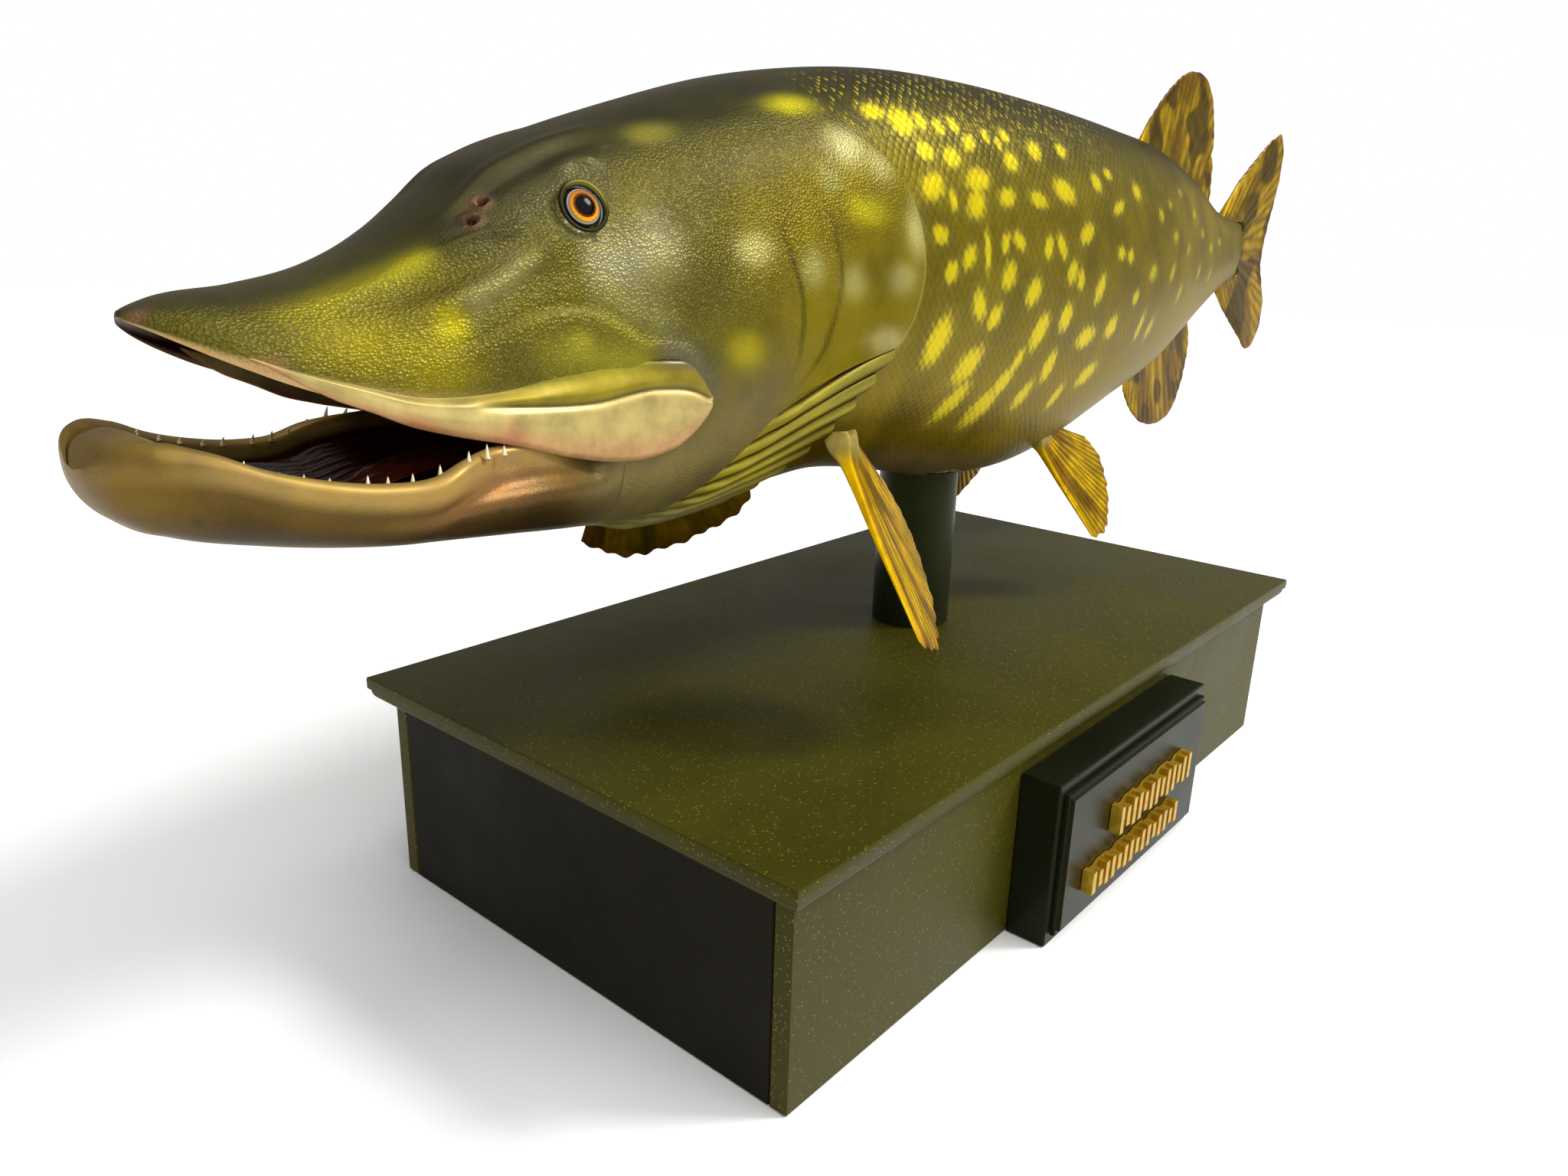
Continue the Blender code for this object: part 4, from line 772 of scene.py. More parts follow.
def make_lower_jaw():
    """The lower jaw: rounded lips, a deep mouth floor and a keel that runs on into the throat."""
    obj, s, t = grid("lower_jaw_casting", 170, 260)
    x = JAW_TIP + 0.5 + (JAW_JOINT - JAW_TIP) * between_caps(s, 170) ** 1.4
    merge = eased(x, -396, JAW_JOINT)
    half = jaw_half_at(x)
    lip = np.minimum(10.0 + 10.0 * (1 - eased(x, -556, -515)), 0.42 * half)
    top = jaw_rim_at(x) * (1 - merge) + (belt_at(JAW_JOINT) + lip / 2) * merge - lip / 2
    keel = jaw_keel_at(x)
    floor = np.minimum(jaw_floor_depth_at(x), 0.6 * (top - keel))
    # Round each section: the outside from left to right, the right lip, the inside back, and the left lip.
    outside, right_lip, inside, left_lip = t <= 0.44, (t > 0.44) & (t <= 0.5), (t > 0.5) & (t <= 0.94), t > 0.94
    angle, over, back = math.pi * t / 0.44, math.pi * (t - 0.44) / 0.06, math.pi * (t - 0.5) / 0.44
    over = np.where(left_lip, math.pi * (t - 0.94) / 0.06, over)
    pad = lip / 2 * (1 - eased(x, -545, -508))
    depth = np.abs(np.sin(back))
    roll = lip / 2 * np.cos(over)
    y = np.select([outside, right_lip, inside], [
        -half * signed_power(np.cos(angle), 0.85 - 0.1 * merge), half - lip / 2 + roll,
        (half - lip) * np.cos(back)], -half + lip / 2 + roll)
    z = np.select([outside, inside], [
        top - (top - keel) * np.abs(np.sin(angle)) ** 0.75, top - floor * depth ** 0.7 + pad * depth ** 0.45],
        top + lip / 2 * np.sin(over))
    turn = np.where(outside, 90 + 180 * t / 0.44, 90.0)
    drop = np.clip(top - z, 0, None)
    below_lip = drop * outside
    # A fold under the lip and the sunken strip between it and the jaw bone.
    groove = -1.6 * np.exp(-((below_lip - 11) / 3.5) ** 2) + 0.8 * np.exp(-((below_lip - 18) / 5) ** 2)
    y += np.sign(y) * groove * outside * (1 - merge) * eased(x, -540, -500)
    tucked = eased(x, -452, -412) * (1 - eased(x, -364, JAW_JOINT))
    y *= 1 - 0.17 * tucked * np.exp(-(drop / 15) ** 2)
    points = np.stack([x, y, z], axis=-1)
    rear = np.isclose(s, 1.0)
    points[np.isclose(s, 0.0)] = (JAW_TIP + 0.1, 0, 346)
    points[rear] = (JAW_JOINT + 0.5, 0, 310)
    throat_x = np.full(len(x), JAW_JOINT + 1.0)
    throat = Surface(throat_x, turn, flank_colour(throat_x, turn))
    paint_flank(throat)
    model_flank(throat)
    swell = (throat.raised() - throat.raised(-throat.height)) * (merge * outside)[:, None]
    points[:, 1:] += np.where(rear, 0.0, 1.0)[:, None] * swell[:, 1:]
    ahead = 1 - eased(x, -392, JAW_JOINT)
    colour = coated(
        throat.colour,
        ("#402E13", ahead * 0.95),
        ("#2A1D0B", eased(below_lip, 20, 38) * ahead * 0.8),
        ("#5C4720", (1 - eased(below_lip, 8, 24)) * ahead),
        ("#A0844A", (1 - eased(below_lip, 1, 9)) * ahead * 0.85),
        ("#6E5622", (1 - eased(x, -556, -520)) * 0.7),
        ("#9A6A48", np.exp(-((x + 425) / 30) ** 2) * np.exp(-((below_lip - 10) / 9) ** 2) * 0.5),
        ("#3A1510", inside * eased(top - z, 1, 5)),
        # Painted shade: the lining darkens to near black deeper in the mouth.
        ("#200A06", inside * eased(top - z, 6, 14)),
        *(("#3A3622", np.exp(-(np.hypot(x - pore_x, below_lip - 21) / 2.0) ** 2) * outside * 0.9)
          for pore_x in (-536, -512, -484, -452, -420)))
    place(obj, points, colour, lay_of(x, turn), **bare(s, 0.15 * outside))
    return closed(obj, 85.0)


def make_maxilla(name):
    """The upper jaw's side plate: a pale leaf along the lip that ends in a rounded lobe."""
    low_at, turn_at, crease_at = fair(LEAF_LOW), fair(LEAF_TOP), fair(LEAF_CREASE)

    def sides(s, t, sign):
        x = LEAF_FRONT + LEAF_LENGTH * s
        turn = turn_at(x)
        top = skin(x, turn)[:, 2]
        low = top - np.maximum(top - low_at(x), 0.2) * eased(x, -516, -478)
        z = low + (top - low) * t
        share = np.clip((z - belt_at(x)) / (ridge_at(x) - belt_at(x)), 0, 1)
        wide = half_at(x) * (1 - share ** fullness_at(x)) ** (1 / fullness_at(x))
        wide -= 1.2 * (np.clip(belt_at(x) - z, 0, None) / 10) ** 2
        rounding = edge_rounding(s, t, LEAF_LENGTH, top - low, 3.6)
        back, parted = eased(x, -500, -400), eased(x, -436, -404)
        fat = 0.35 + 0.65 * back + 1.5 * back * np.exp(-((t - 0.34) / 0.3) ** 2)
        fat -= 0.8 * np.exp(-((z - crease_at(x)) / 2.1) ** 2) * parted
        sunk = eased(t, 0.72, 1.0) * (1 - 0.6 * eased(x, -345, -318))
        lift = (0.1 + 1.9 * back) * (1 - sunk) - 0.35 * sunk
        y = wide + lift + sign * rounding * (1.6 * fat * (1 - 0.7 * sunk) if sign > 0 else 2.4)
        tone = Surface(x, turn, flank_colour(x, turn))
        paint_flank(tone)
        over = eased(z - crease_at(x), -1.0, 2.5)
        pale = (1 - eased(t, 0.62, 0.98)) * (1 - parted) + (1 - over) * parted
        # The dark line along the crease is painted shade; the other coats are the leaf's own colours.
        tone.coat(
            ("#AE9C60", pale * 0.95),
            ("#8A7A1E", parted * over * 0.8 * (1 - eased(t, 0.85, 1.0))),
            ("#B98A5E", (1 - eased(t, 0.05, 0.40)) * 0.8),
            ("#3E3612", np.exp(-((z - crease_at(x)) / 1.1) ** 2) * parted * 0.85),
            *(("#B0604E", np.exp(-((x - blush) / 7) ** 2) * (1 - eased(t, 0.2, 0.6)) * 0.5)
              for blush in (-500, -449, -409)))
        return {"points": np.stack([x, -y, z], axis=-1), "colour": tone.colour}

    return two_sided(name, 220, 56, sides)


def make_gill_cover(name):
    """The bony cover over the gills: flush in front, standing proud with a pale rim behind, the rim partly its own pale
    colour and partly a painted highlight on the edge.
    """

    def sides(s, t, sign):
        turn = 28 + (70 + 6 * (1 - s)) * t
        off = turn - 79
        front = -214 - np.where(off > 0, 0.05, 0.022) * off ** 2
        back = -123 - np.where(off > 0, 0.08, 0.035) * off ** 2
        x = front + (back - front) * s
        flank = Surface(x, turn, flank_colour(np.minimum(x, -190), turn))
        model_flank(flank)
        paint_flank(flank)
        # Pale rim along the rear edge: partly the edge's own colour, partly a painted highlight.
        flank.coat(("#A69C50", eased(s, 0.955, 0.985) * eased(t, 0.35, 0.6) * 0.7))
        proud = 0.25 + 3.2 * eased(s, 0.25, 0.95) * eased(t, 0.05, 0.5)
        proud += 1.2 * eased(t, 0.9, 1.0) * eased(s, 0.1, 0.4)
        extra = edge_rounding(s, t, back - front, 150.0, 2.2) * (proud if sign > 0 else -1.0) - 0.15
        return {"points": flank.raised(extra), "colour": flank.colour, "lay": lay_of(x, turn), "spot": 0 * s,
                **skin_extras(np.minimum(x, -175), turn)}

    return two_sided(name, 90, 150, sides)


def make_gill_membrane(name):
    """The pleated skin under the cover: each fold laps over the one below it, with a painted highlight on each fold and
    painted shade in each crease.
    """
    folds = 8

    def sides(s, t, sign):
        turn = 105.5 - 8.5 * s + (56 + 2 * s) * t
        fold = folds * t
        phase = fold - np.floor(np.minimum(fold, folds - 1e-6))
        front = -245 - 95 * t ** 0.8
        back = -150 - 110 * t + 3.0 * np.sin(math.pi * phase)
        x = front + (back - front) * s
        flank = Surface(x, turn, flank_colour(np.full(len(x), -200.0), np.minimum(turn, 112)))
        model_flank(flank)
        lap = np.sin(math.pi * phase) ** 0.6
        # Painted light on the pleats: a pale highlight on the upper part of each fold and a dark line of painted shade
        # in each crease.
        flank.coat(
            ("#7A7014", 0.8 * lap),
            ("#A09640", np.exp(-((phase - 0.32) / 0.15) ** 2) * 0.6),
            ("#1C1904", ((1 - eased(phase, 0.04, 0.20)) + eased(phase, 0.80, 0.96)) * 0.9),
            ("#6A6444", eased(turn, 128, 150) * 0.7))
        proud = 0.4 + 3.8 * lap * eased(s, 0.0, 0.22) + 0.5 * eased(s, 0.1, 0.9)
        extra = edge_rounding(s, t, 95, 160, 1.8) * (proud if sign > 0 else -1.0) - 0.1
        return {"points": flank.raised(extra), "colour": flank.colour, "lay": lay_of(x, turn), **bare(s, 0.1)}

    return two_sided(name, 60, 200, sides, 70.0)


def inside_height(x, y, floor_rise=0.0):
    """Height of the mouth floor at a point of the lower jaw."""
    half, rim = jaw_half_at(x), jaw_rim_at(x)
    floor = np.minimum(jaw_floor_depth_at(x), 0.6 * (rim - jaw_keel_at(x)))
    share = np.clip(np.abs(y) / (half - 10.0), 0, 1)
    return rim - floor * (1 - share ** 2) ** 0.35 + floor_rise


def roof_height(x, y):
    """Height of the palate at a point of the upper jaw, a little below its skin."""
    share = np.sqrt(np.clip(1 - (y / half_at(x)) ** 2, 0, 1))
    return skin(x, np.degrees(np.arccos(np.clip(-share, -1, 1))))[:, 2] - 1.6


def make_tongue():
    """A flat tongue with a rounded tip, a groove down the middle and fine wrinkles."""
    obj, s, t = grid("tongue_casting", 70, 64)
    x = -496 + 130 * s
    half = 20 * np.sin(math.pi * (0.02 + 0.48 * s)) ** 0.6
    angle = 2 * math.pi * t
    base = inside_height(x, 0 * x) + 5.4
    groove = 1.6 * np.exp(-(np.cos(angle) / 0.22) ** 2) * (np.sin(angle) > 0)
    rise = (3.0 + 5.0 * s) * (np.sin(angle) + 1) - groove + 0.35 * np.sin(9 * angle + 0.5 * x) * (np.sin(angle) > 0)
    points = np.stack([x, half * np.cos(angle), base + 0.5 * rise], axis=-1)
    pinch(points, s)
    place(obj, points, coated(linear("#4A1A12"), ("#6B2E20", eased(np.sin(angle), 0.0, 0.9) * 0.8)))
    return closed(obj)


def make_mouth_sheet(name, low, high, half_of, height, ribs, colour):
    """The moulded lining of the mouth, ribbed along its length."""

    def sides(s, t, sign):
        x = low + (high - low) * s
        y = half_of(x) * (2 * t - 1)
        rib = np.cos(2 * math.pi * y / 7.5 + 0.05 * x)
        rounding = edge_rounding(s, t, high - low, 80, 2.0)
        z = height(x, y) + sign * rounding * 1.1 + ribs * rib * rounding * (sign > 0)
        return {"points": np.stack([x, y, z], axis=-1),
                "colour": coated(linear(colour), ("#5C281C", eased(rib, 0.0, 1.0) * 0.5))}

    return two_sided(name, 60, 60, sides)


def make_needle(base, up, lean, tall, radius):
    """One curved needle tooth with a swollen root."""
    obj, s, t = grid("needle", 6, 8)
    angle = 2 * math.pi * t
    wide = radius * np.where(s < 0.2, 1.25, (1 - s) ** 0.7)
    x = base[0] + wide * np.cos(angle) + lean[0] * s ** 2
    y = base[1] + wide * np.sin(angle) + lean[1] * s ** 2
    z = base[2] + up * (tall * s - 1.2)
    points = np.stack([x, y, z], axis=-1)
    pinch(points, s)
    place(obj, points, coated(linear("#D8CCA4"), ("#8A6A48", 1 - eased(s, 0.0, 0.45))))
    return obj


def make_teeth(name, side, lower):
    """A row of needles, every one a little different."""
    teeth = []
    count = 11 if lower else 9
    for k in range(count):
        x = (-520 + 10.5 * k if lower else -478 + 9.0 * k) + rng.uniform(-2.5, 2.5)
        if lower:
            y = side * (float(jaw_half_at(x)) - 8.6)
            z = float(jaw_rim_at(x)) - 2.0
            tall = rng.uniform(2.6, 4.0) if k < 4 else rng.uniform(4.4, 7.4)
            teeth.append(make_needle((x, y, z), 1, (1.0, -side * 1.3), tall, 1.35))
        else:
            y = side * (float(half_at(x)) - 7.5)
            z = float(skin(np.array([x]), np.array([112.0]))[0][2])
            teeth.append(make_needle((x, y, z), -1, (1.0, -side * 0.8), rng.uniform(2.0, 4.2), 0.9))
    return closed(join(name, teeth), 60.0)


# --- Fish: body and fins --------------------------------------------------------------------------------

# Yellow spots of the flank, row by row: station, turn, length, height and tilt.
SPOTS = (
    (-117, 41, 26, 20, 20), (-97, 41, 12, 14, 0), (-80, 43, 12, 12, 0), (-62, 42, 12, 12, 0), (-140, 37, 22, 12, 10),
    (-104, 51, 18, 13, 0), (-77, 53, 20, 14, 10), (-52, 48, 18, 11, 30), (-28, 45, 9, 11, 0), (-2, 44, 12, 10, 10),
    (-14, 47, 8, 10, 0), (-5, 53, 20, 14, 10), (34, 48, 22, 15, 20), (77, 46, 16, 12, 10), (-52, 59.5, 32, 16, 10),
    (-105, 61, 28, 17, 20), (-85, 65, 9, 14, 0), (-59, 66, 26, 18, 25), (-20, 64, 24, 13, 10), (24, 64, 26, 12, -5),
    (65, 60.5, 34, 17, -12), (123, 56, 18, 15, -30), (150, 52, 16, 10, 0), (160, 64, 28, 10, 20),
    (205, 57, 20, 15, 0), (260, 65, 18, 14, 10), (-103, 73, 18, 12, 0), (-26, 76, 16, 10, 60), (-8, 75.5, 20, 11, -25),
    (34, 77, 18, 13, 65), (54, 77, 22, 12, -55), (96, 73, 28, 14, 20), (-92, 82, 18, 13, 40), (-71, 79, 20, 13, 40),
    (-49, 78, 8, 30, 0), (-21, 84, 22, 17, 40), (14, 88, 26, 17, 35), (72, 84, 20, 15, 40), (86, 86, 12, 16, 0),
    (122, 89, 28, 14, 50), (160, 79, 18, 12, 0), (180, 80, 16, 13, 0), (238, 86, 24, 15, 10), (295, 88, 26, 12, 50),
    (-57, 90, 16, 22, 30), (-36, 93, 24, 13, 40), (29, 98, 34, 17, 45), (67, 95, 24, 18, 50), (108, 102, 34, 16, 10),
    (155, 101, 26, 16, 30), (200, 93, 18, 12, 30), (-102, 98, 38, 22, 45), (55, 109, 28, 15, 60), (28, 118, 28, 14, 45),
    (-8, 113, 30, 15, 45), (-60, 107, 38, 20, 30), (-65, 120, 40, 17, 40), (-25, 122, 44, 20, 40), (5, 106, 20, 10, 50),
    (130, 116, 36, 15, 20), (85, 121, 26, 12, 50), (225, 105, 30, 12, 60), (255, 108, 28, 14, 50), (330, 53, 18, 10, 0),
    (370, 62, 18, 12, 10), (300, 74, 22, 12, 10), (345, 80, 20, 12, 30), (400, 72, 20, 12, 0), (330, 98, 26, 12, 50),
    (395, 92, 22, 12, 40), (440, 80, 22, 12, 0), (480, 74, 20, 11, 0), (290, 60, 16, 10, 0), (450, 98, 20, 11, 40))


def clouds(points, size, seed):
    """A soft random pattern from 0 to 1 whose patches are about this many millimetres across."""
    source = np.random.default_rng(seed)
    total = np.zeros(len(points))
    for _ in range(10):
        wave = source.normal(size=3) * 2.2 / size
        total += np.sin(points @ wave + source.uniform(0, 6.28))
    return np.clip(0.5 + total / 9, 0, 1)


def make_body_shell(name, side):
    """Half of the hollow body; every scale is laid out from the gill opening to the root of the tail."""
    obj, s, t = grid(name, 330, 118)
    x = GILL_OPENING + (TAIL_ROOT - GILL_OPENING) * s
    turn = 180.0 * t
    flank = Surface(x, turn, flank_colour(x, turn))
    paint_flank(flank)
    spots = np.zeros(len(x))
    shift = rng.uniform(-9, 9, (len(SPOTS), 2)) if side > 0 else np.zeros((len(SPOTS), 2))
    for (spot_x, spot_turn, *size), (dx, dt) in zip(SPOTS, shift):
        pale = float(eased(spot_x, 120, 320))
        spots = np.maximum(spots, flank.oval(spot_x + dx, spot_turn + dt / 3, *size) * (1 - 0.35 * pale))
    flank.coat(("#968C3A", spots * 0.55),
               ("#4A4408", (1 - eased(np.abs(x + 118), 4, 26)) * eased(turn, 60, 90) * 0.35))
    points = flank.points.copy()
    points[:, 1] = np.minimum(points[:, 1], -0.15)
    around = np.hypot(points[:, 0] - POST_X, points[:, 1])
    reach = POST_RADIUS + POST_CLEARANCE
    near = (turn > 90) & (around < reach)
    scale = np.where(near & (around > reach - 3.4), reach / np.maximum(around, 1.0), 1.0)
    points[:, 0] = POST_X + (points[:, 0] - POST_X) * scale
    points[:, 1] = points[:, 1] * scale
    # The stem runs in to the thickness of the tail fin.
    narrowing = np.clip((x - TAIL_ROOT + TAIL_STEM) / TAIL_STEM, 0, 1)
    points[:, 1] *= -side * (1 - narrowing**2 * 0.72)
    place(obj, points, flank.colour, lay_of(x, turn), spot=spots, **skin_extras(x, turn))
    drop_points(obj, (turn > 90) & (np.hypot(points[:, 0] - POST_X, points[:, 1]) < reach - 0.1))
    finish_step(obj, "SOLIDIFY", thickness=SHELL_WALL * MM, offset=1.0 if side < 0 else -1.0)
    return closed(obj, 60.0)


def drop_points(obj, marked):
    """Deletes the marked points of a piece."""
    for items in (obj.data.edges, obj.data.polygons):
        items.foreach_set("select", np.zeros(len(items), bool))
    pick(obj)
    bpy.context.tool_settings.mesh_select_mode = (True, False, False)
    obj.data.vertices.foreach_set("select", marked)
    bpy.ops.object.mode_set(mode="EDIT")
    bpy.ops.mesh.delete(type="VERT")
    bpy.ops.object.mode_set(mode="OBJECT")


def path(points):
    """A smooth flat path through points, for s from 0 to 1 by the length along it."""
    points = np.array(points, float)
    steps = np.concatenate([[0.0], np.cumsum(np.linalg.norm(np.diff(points, axis=0), axis=1))])
    first, second = (fair(np.c_[steps / steps[-1], points[:, i]]) for i in (0, 1))
    return lambda s: np.stack([first(s), second(s)], axis=-1)


def make_fin(name, root, edge, put, rays, thick, seed, columns=240, ragged=0.0, knuckle=0.0,
             bright="#AA8806", dark="#5E4206", mottling=0.85):
    """A ribbed fin: rays that fork towards the edge, thin webs between them, and airbrushed mottling."""

    def sides(s, t, sign):
        a, b = root(s), edge(s)
        fringe = 1 - ragged * (0.5 + 0.5 * np.cos(2 * math.pi * rays * s)) * eased(t, 0.55, 1.0)
        torn = np.interp(26 * s, np.arange(27), np.random.default_rng(seed).uniform(size=27))
        fringe -= ragged * torn * eased(t, 0.8, 1.0)
        flat = a + (b - a) * (t * fringe)[:, None]
        body = thick * (1 - t) ** 1.5 + 1.3
        fork = eased(t, 0.35, 0.7)
        ray = np.cos(2 * math.pi * rays * s) * (1 - fork) + np.cos(4 * math.pi * rays * s) * fork * 0.8
        rim = np.clip(np.minimum(np.minimum(s, 1 - s) * 3 * rays * 0.6, (1 - t) * 14), 0, 1)
        rounding = np.sqrt(1 - (1 - rim) ** 2) * np.where(t <= 0, 0.0, 1.0)
        height = 0.5 * body + 0.42 * (ray + 1) * np.sqrt(np.clip(t * 5, 0, 1))
        height += knuckle * np.exp(-((t - 0.04) / 0.07) ** 2)
        blotch = clouds(np.c_[flat * 1.0, 0 * s], 26, seed)
        streak = clouds(np.c_[60 * s * rays / 10, 14 * t, 0 * s], 9, seed + 3)
        # The rays are painted lighter and the webs between them darker: partly the fin's own colour, partly a painted
        # highlight on the raised rays and painted shade between them.
        colour = coated(
            linear("#947600"),
            (bright, (0.5 + 0.5 * ray) * 0.75),
            (dark, eased(streak, 0.48, 0.7) * 0.75),
            ("#332A08", eased(blotch, 0.5, 0.68) * mottling),
            ("#4E4204", (0.5 - 0.5 * ray) * 0.55),
            (bright, (1 - eased(s, 0.0, 0.09)) * 0.8),
            ("#5A4E18", (1 - eased(t, 0.0, 0.22)) * 0.55),
            ("#6A3A0C", eased(t, 0.9, 1.0) * 0.4),
            ("#9A8A48", (1 - eased(t, 0.06, 0.15)) * (0.9 if knuckle else 0.0)))
        return {"points": put(flat, sign * height * rounding), "colour": colour}

    return two_sided(name, columns, 60, sides, 75.0)


def upright(flat, height):
    return np.stack([flat[:, 0], height, flat[:, 1]], axis=-1)


def make_median_fins():
    top, low = lambda x: float(ridge_at(x)), lambda x: float(belly_at(x))
    dorsal = make_fin(
        "dorsal_fin_casting", path([(338, top(338) - 1.5), (430, top(430) - 1.5), (524, top(524) - 1.5)]),
        path([(352, 538), (399, 576), (424, 589), (450, 594.5), (478, 592), (500, 578), (514, 552), (519, 532),
              (516, 524), (522, 518), (525, 500), (527, 476)]), upright, 12, 5.5, 11, ragged=0.006)
    anal = make_fin(
        "anal_fin_casting", path([(365, low(365) + 1.5), (430, low(430) + 1.5), (506, low(506) + 1.5)]),
        path([(370, 296), (390, 276), (415, 261), (445, 253.5), (475, 254), (498, 262), (514, 283), (522, 310),
              (522, 335), (512, 354)]), upright, 10, 5.0, 21, ragged=0.006)
    end = TAIL_ROOT
    tail = make_fin(
        "tail_fin_casting",
        path([(562, top(562) - 3.0), (600, top(600) - 3.0), (end - 4, top(end) - 3.5), (end - 7, 445), (end - 8, 430),
              (end - 7, 415), (end - 4, low(end) + 3.5), (610, low(610) + 3.0), (573, low(573) + 3.0)]),
        path([(600, 497), (650, 527), (700, 552), (722, 557), (736, 545), (738, 520), (728, 478), (716, 440),
              (715, 415), (728, 392), (742, 370), (743, 345), (732, 324), (708, 315), (680, 329), (640, 350),
              (604, 370)]), upright, 18, 8.0, 31, 300, ragged=0.012)
    return dorsal, anal, tail


def make_paired_fin(name, base, ray, chord, length, opening, knuckle, rays, seed, trim=0.46, bright="#E2B200",
                    dark="#6A3E04"):
    """A fan fin from a pale knuckle at the left flank."""
    along = np.array(ray) / np.linalg.norm(ray)
    across = np.array(chord) - np.dot(chord, along) * along
    across /= np.linalg.norm(across)
    normal = np.cross(along, across)

    def root(s):
        return np.stack([3.0 * np.sin(math.pi * s) - 4.0, knuckle * (s - 0.5)], axis=-1)

    def edge(s):
        turn = math.radians(opening) * s
        reach = length * (0.99 - trim * s ** 2.4 - 0.10 * (1 - eased(s, 0.0, 0.25)) - 0.10 * eased(s, 0.8, 1.0))
        return np.stack([reach * np.cos(turn), reach * np.sin(turn) + knuckle * (s - 0.5) * 0.4], axis=-1)

    def put(flat, height):
        curl = 5.0 * eased(flat[:, 0], 0.35 * length, length)
        place_now = np.array(base) + flat[:, :1] * along + flat[:, 1:] * across
        return place_now + (height + curl * 0.4)[:, None] * normal

    return make_fin(name, root, edge, put, rays, 6.5, seed, 220, 0.022, 3.4, bright, dark, 0.3)


# --- Stand ----------------------------------------------------------------------------------------------


def make_top_board():
    """The moulded top board, mitred at the corners: a fascia, a quirk and a rounded moulding."""
    top, low = PLINTH_HEIGHT, PLINTH_HEIGHT - BOARD_THICKNESS
    profile = [(BOARD_WIDTH / 2, top), (1.6, top), (0.7, top - 0.25), (0.2, top - 0.7), (0.0, top - 1.5),
               (0.0, top - FASCIA + 0.6), (0.3, top - FASCIA), (2.4, top - FASCIA),
               (2.7, top - FASCIA - 0.3), (2.7, top - FASCIA - 1.2)]
    for i in range(15):
        turn = 0.5 * math.pi * i / 14
        profile.append((1.9 + 6.8 * (1 - math.cos(turn)), top - FASCIA - 1.2 - 7.1 * math.sin(turn)))
    profile += [(20.0, low), (BOARD_WIDTH / 2, low)]
    obj, s, t = grid("top_board_moulding", len(profile) - 1, 4)
    step = np.round(s * (len(profile) - 1)).astype(int)
    inset, z = np.array(profile)[step].T
    corner = np.round(t * 4).astype(int) % 4
    x = (BOARD_LENGTH / 2 - inset) * np.array([-1, 1, 1, -1])[corner]
    y = (BOARD_WIDTH / 2 - inset) * np.array([-1, -1, 1, 1])[corner]
    place(obj, np.stack([x, y, z], axis=-1))
    return closed(obj, 35.0)


def make_post():
    """The round post with a small eased edge at its top."""
    low = PLINTH_HEIGHT - BOARD_THICKNESS
    obj, s, t = grid("post_turning", 8, 128)
    turned = ((0, low), (29.2, low), (29.8, low + 0.3), (POST_RADIUS, low + 1), (POST_RADIUS, POST_TOP - 1.4),
              (29.85, POST_TOP - 0.6), (29.4, POST_TOP - 0.15), (28.6, POST_TOP), (0, POST_TOP))
    radius, z = np.array(turned)[np.round(s * 8).astype(int)].T
    place(obj, ring_points(radius, 2 * math.pi * t, z) + (POST_X, 0, 0))
    return closed(obj, 40.0)


# --- Assembly -------------------------------------------------------------------------------------------

settle(make_head(), SKIN, "fish_skin", "head_casting")
settle(make_lower_jaw(), SKIN, "pale_jaw", "lower_jaw")
settle_pair(make_maxilla("maxilla_plate_left"), LIP, "pale_jaw", "maxilla")
settle_pair(make_gill_cover("gill_plate_left"), SKIN, "fish_skin", "gill_cover")
settle_pair(make_gill_membrane("gill_pleats_left"), SKIN, "fish_skin", "gill_membrane")
for side, word in ((-1, "left"), (1, "right")):
    settle(make_eye("glass_eye_" + word, -side), EYE, "eye_glass", "eye_" + word)
    settle(make_body_shell("body_skin_" + word, side), SKIN, "fish_skin", "body_shell_" + word)
    settle(make_teeth("lower_needles_" + word, side, True), TOOTH, "tooth", "lower_teeth_" + word)
    settle(make_teeth("upper_needles_" + word, side, False), TOOTH, "tooth", "upper_teeth_" + word)
settle(make_tongue(), MOUTH, "mouth_lining", "tongue")
settle(make_mouth_sheet("palate_lining", -488, -352, lambda x: half_at(x) - 17, roof_height, 0.5, "#3A140C"),
       MOUTH, "mouth_lining", "palate_insert")
settle(make_mouth_sheet("mouth_floor_lining", -512, -352, lambda x: jaw_half_at(x) - 17,
                        lambda x, y: inside_height(x, y, 2.8), 0.5, "#35120B"),
       MOUTH, "mouth_lining", "mouth_floor_insert")
for fin, node in zip(make_median_fins(), ("dorsal_fin", "anal_fin", "tail_fin")):
    settle(fin, FIN, "fin_resin", node)
pectoral = ((-198, -85, 327), (0.03, -0.475, -0.879), (0.93, 0.38, -0.18), 146, 66, 22, 11, 41)
settle(make_paired_fin("pectoral_fin_fan_left", *pectoral), FIN, "fin_resin", "pectoral_fin_left")
# The right pectoral is spread wide and painted dark: painted shade, as it lies in the body's shadow.
spread = make_paired_fin("spread_fin", *pectoral, 0.10, "#6A4C12", "#2A1A08")
settle(mirror(spread, "pectoral_fin_fan_right"), FIN, "fin_resin", "pectoral_fin_right")
bpy.data.objects.remove(spread, do_unlink=True)
settle_pair(make_paired_fin("pelvic_fin_fan_left", (128, -38, 287), (0.42, -0.36, -0.84), (0.97, 0.10, 0.20),
                            122, 54, 24, 9, 51, 0.26), FIN, "fin_resin", "pelvic_fin")
settle(make_top_board(), PLINTH, "olive_paint", "top_board", body="stand")
settle(make_post(), POST, "post_paint", "post", body="stand")

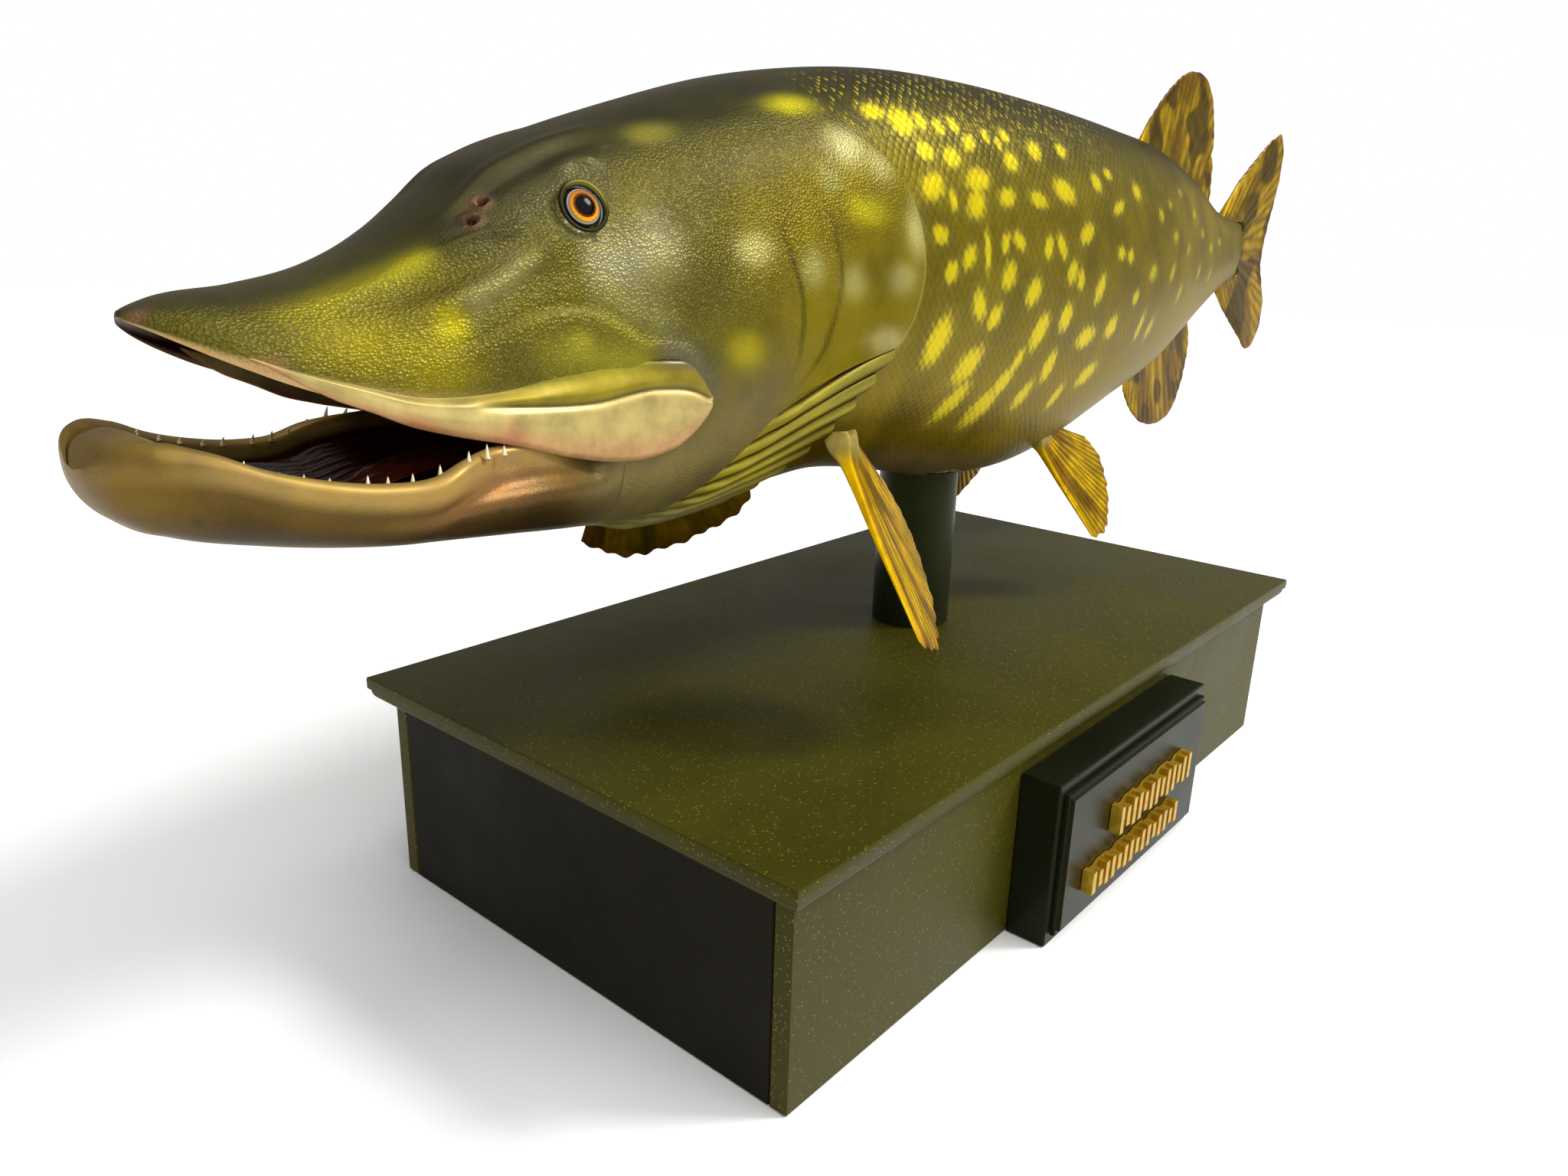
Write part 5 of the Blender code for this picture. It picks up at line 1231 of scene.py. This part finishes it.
# The plain pieces keep their CAD shape and only get their finish.
for finish, nodes in (
        (PLINTH, ("front_panel", "back_panel")), (PLINTH_PAINTED_SHADE, ("head_end_panel", "tail_end_panel")),
        (PLATE, ("nameplate_block", "nameplate")), (GOLD, ("raised_bars_lower", "raised_bars_upper")),
        (TIMBER, ("bottom_panel", "corner_block_head_front", "corner_block_head_back", "corner_block_tail_front",
                  "corner_block_tail_back", "mounting_block")),
        (STEEL, ("receiver_tube", "post_bolt", "post_flange", "spigot"))):
    for node in nodes:
        worn = bpy.data.objects[node].data.materials
        worn.clear()
        worn.append(finish)


# --- Studio ---------------------------------------------------------------------------------------------


def make_studio():
    bpy.ops.mesh.primitive_plane_add(size=14, location=(0, 0, -0.0005))
    floor = bpy.context.object
    floor.name = "studio_floor"
    node, feed = material("white_paper_sweep", 0.9)
    haze = node("TexNoise", {"Vector": node("TexCoord", out="Object"), "Scale": 3.0})
    floor.data.materials.append(
        feed(Base_Color=node("Mix", {0: haze, 6: rgba("#F7F7F5"), 7: rgba("#FAFAF9")}, 2, **OVER)))
    for name, place_at, energy, spread_of, direction in (
            ("wide_key_light", (0.8, -1.3, 1.6), 2.4, 80, (0.0, 0.60, -0.80)),
            ("small_glint_light", (1.0, -1.0, 1.3), 2.0, 14, (-0.52, 0.50, -0.68))):
        bpy.ops.object.light_add(type="SUN", location=place_at)
        light = bpy.context.object
        light.name = name
        light.data.energy, light.data.angle = energy, math.radians(spread_of)
        light.rotation_euler = Vector(direction).to_track_quat("-Z", "Y").to_euler()
    world = bpy.data.worlds.new("studio")
    bpy.context.scene.world = world
    world.use_nodes = True
    sky = world.node_tree.nodes["Background"]
    seen = add(world.node_tree, "LightPath", out="Is Camera Ray")
    # The backdrop looks white, but lights the fish as a dimmer room would.
    strength = add(world.node_tree, "MapRange", (seen, 0.0, 1.0, 0.34, 1.0))
    world.node_tree.links.new(strength, sky.inputs["Strength"])
    sky.inputs["Color"].default_value = (1.0, 1.0, 1.0, 1.0)


def make_camera():
    right, down, forward = ((0.64897, -0.76025, 0.02910), (-0.21383, -0.21898, -0.95201), (0.73014, 0.61161, -0.30468))
    bpy.ops.object.camera_add()
    camera = bpy.context.object
    camera.data.lens, camera.data.sensor_width = 26.017, 36.0
    camera.data.clip_start = 0.01
    camera.matrix_world = Matrix((
        (right[0], -down[0], -forward[0], -0.70902),
        (right[1], -down[1], -forward[1], -0.47445),
        (right[2], -down[2], -forward[2], 0.44168),
        (0, 0, 0, 1)))
    bpy.context.scene.camera = camera


make_studio()
make_camera()
bpy.context.scene.view_settings.view_transform = "Standard"
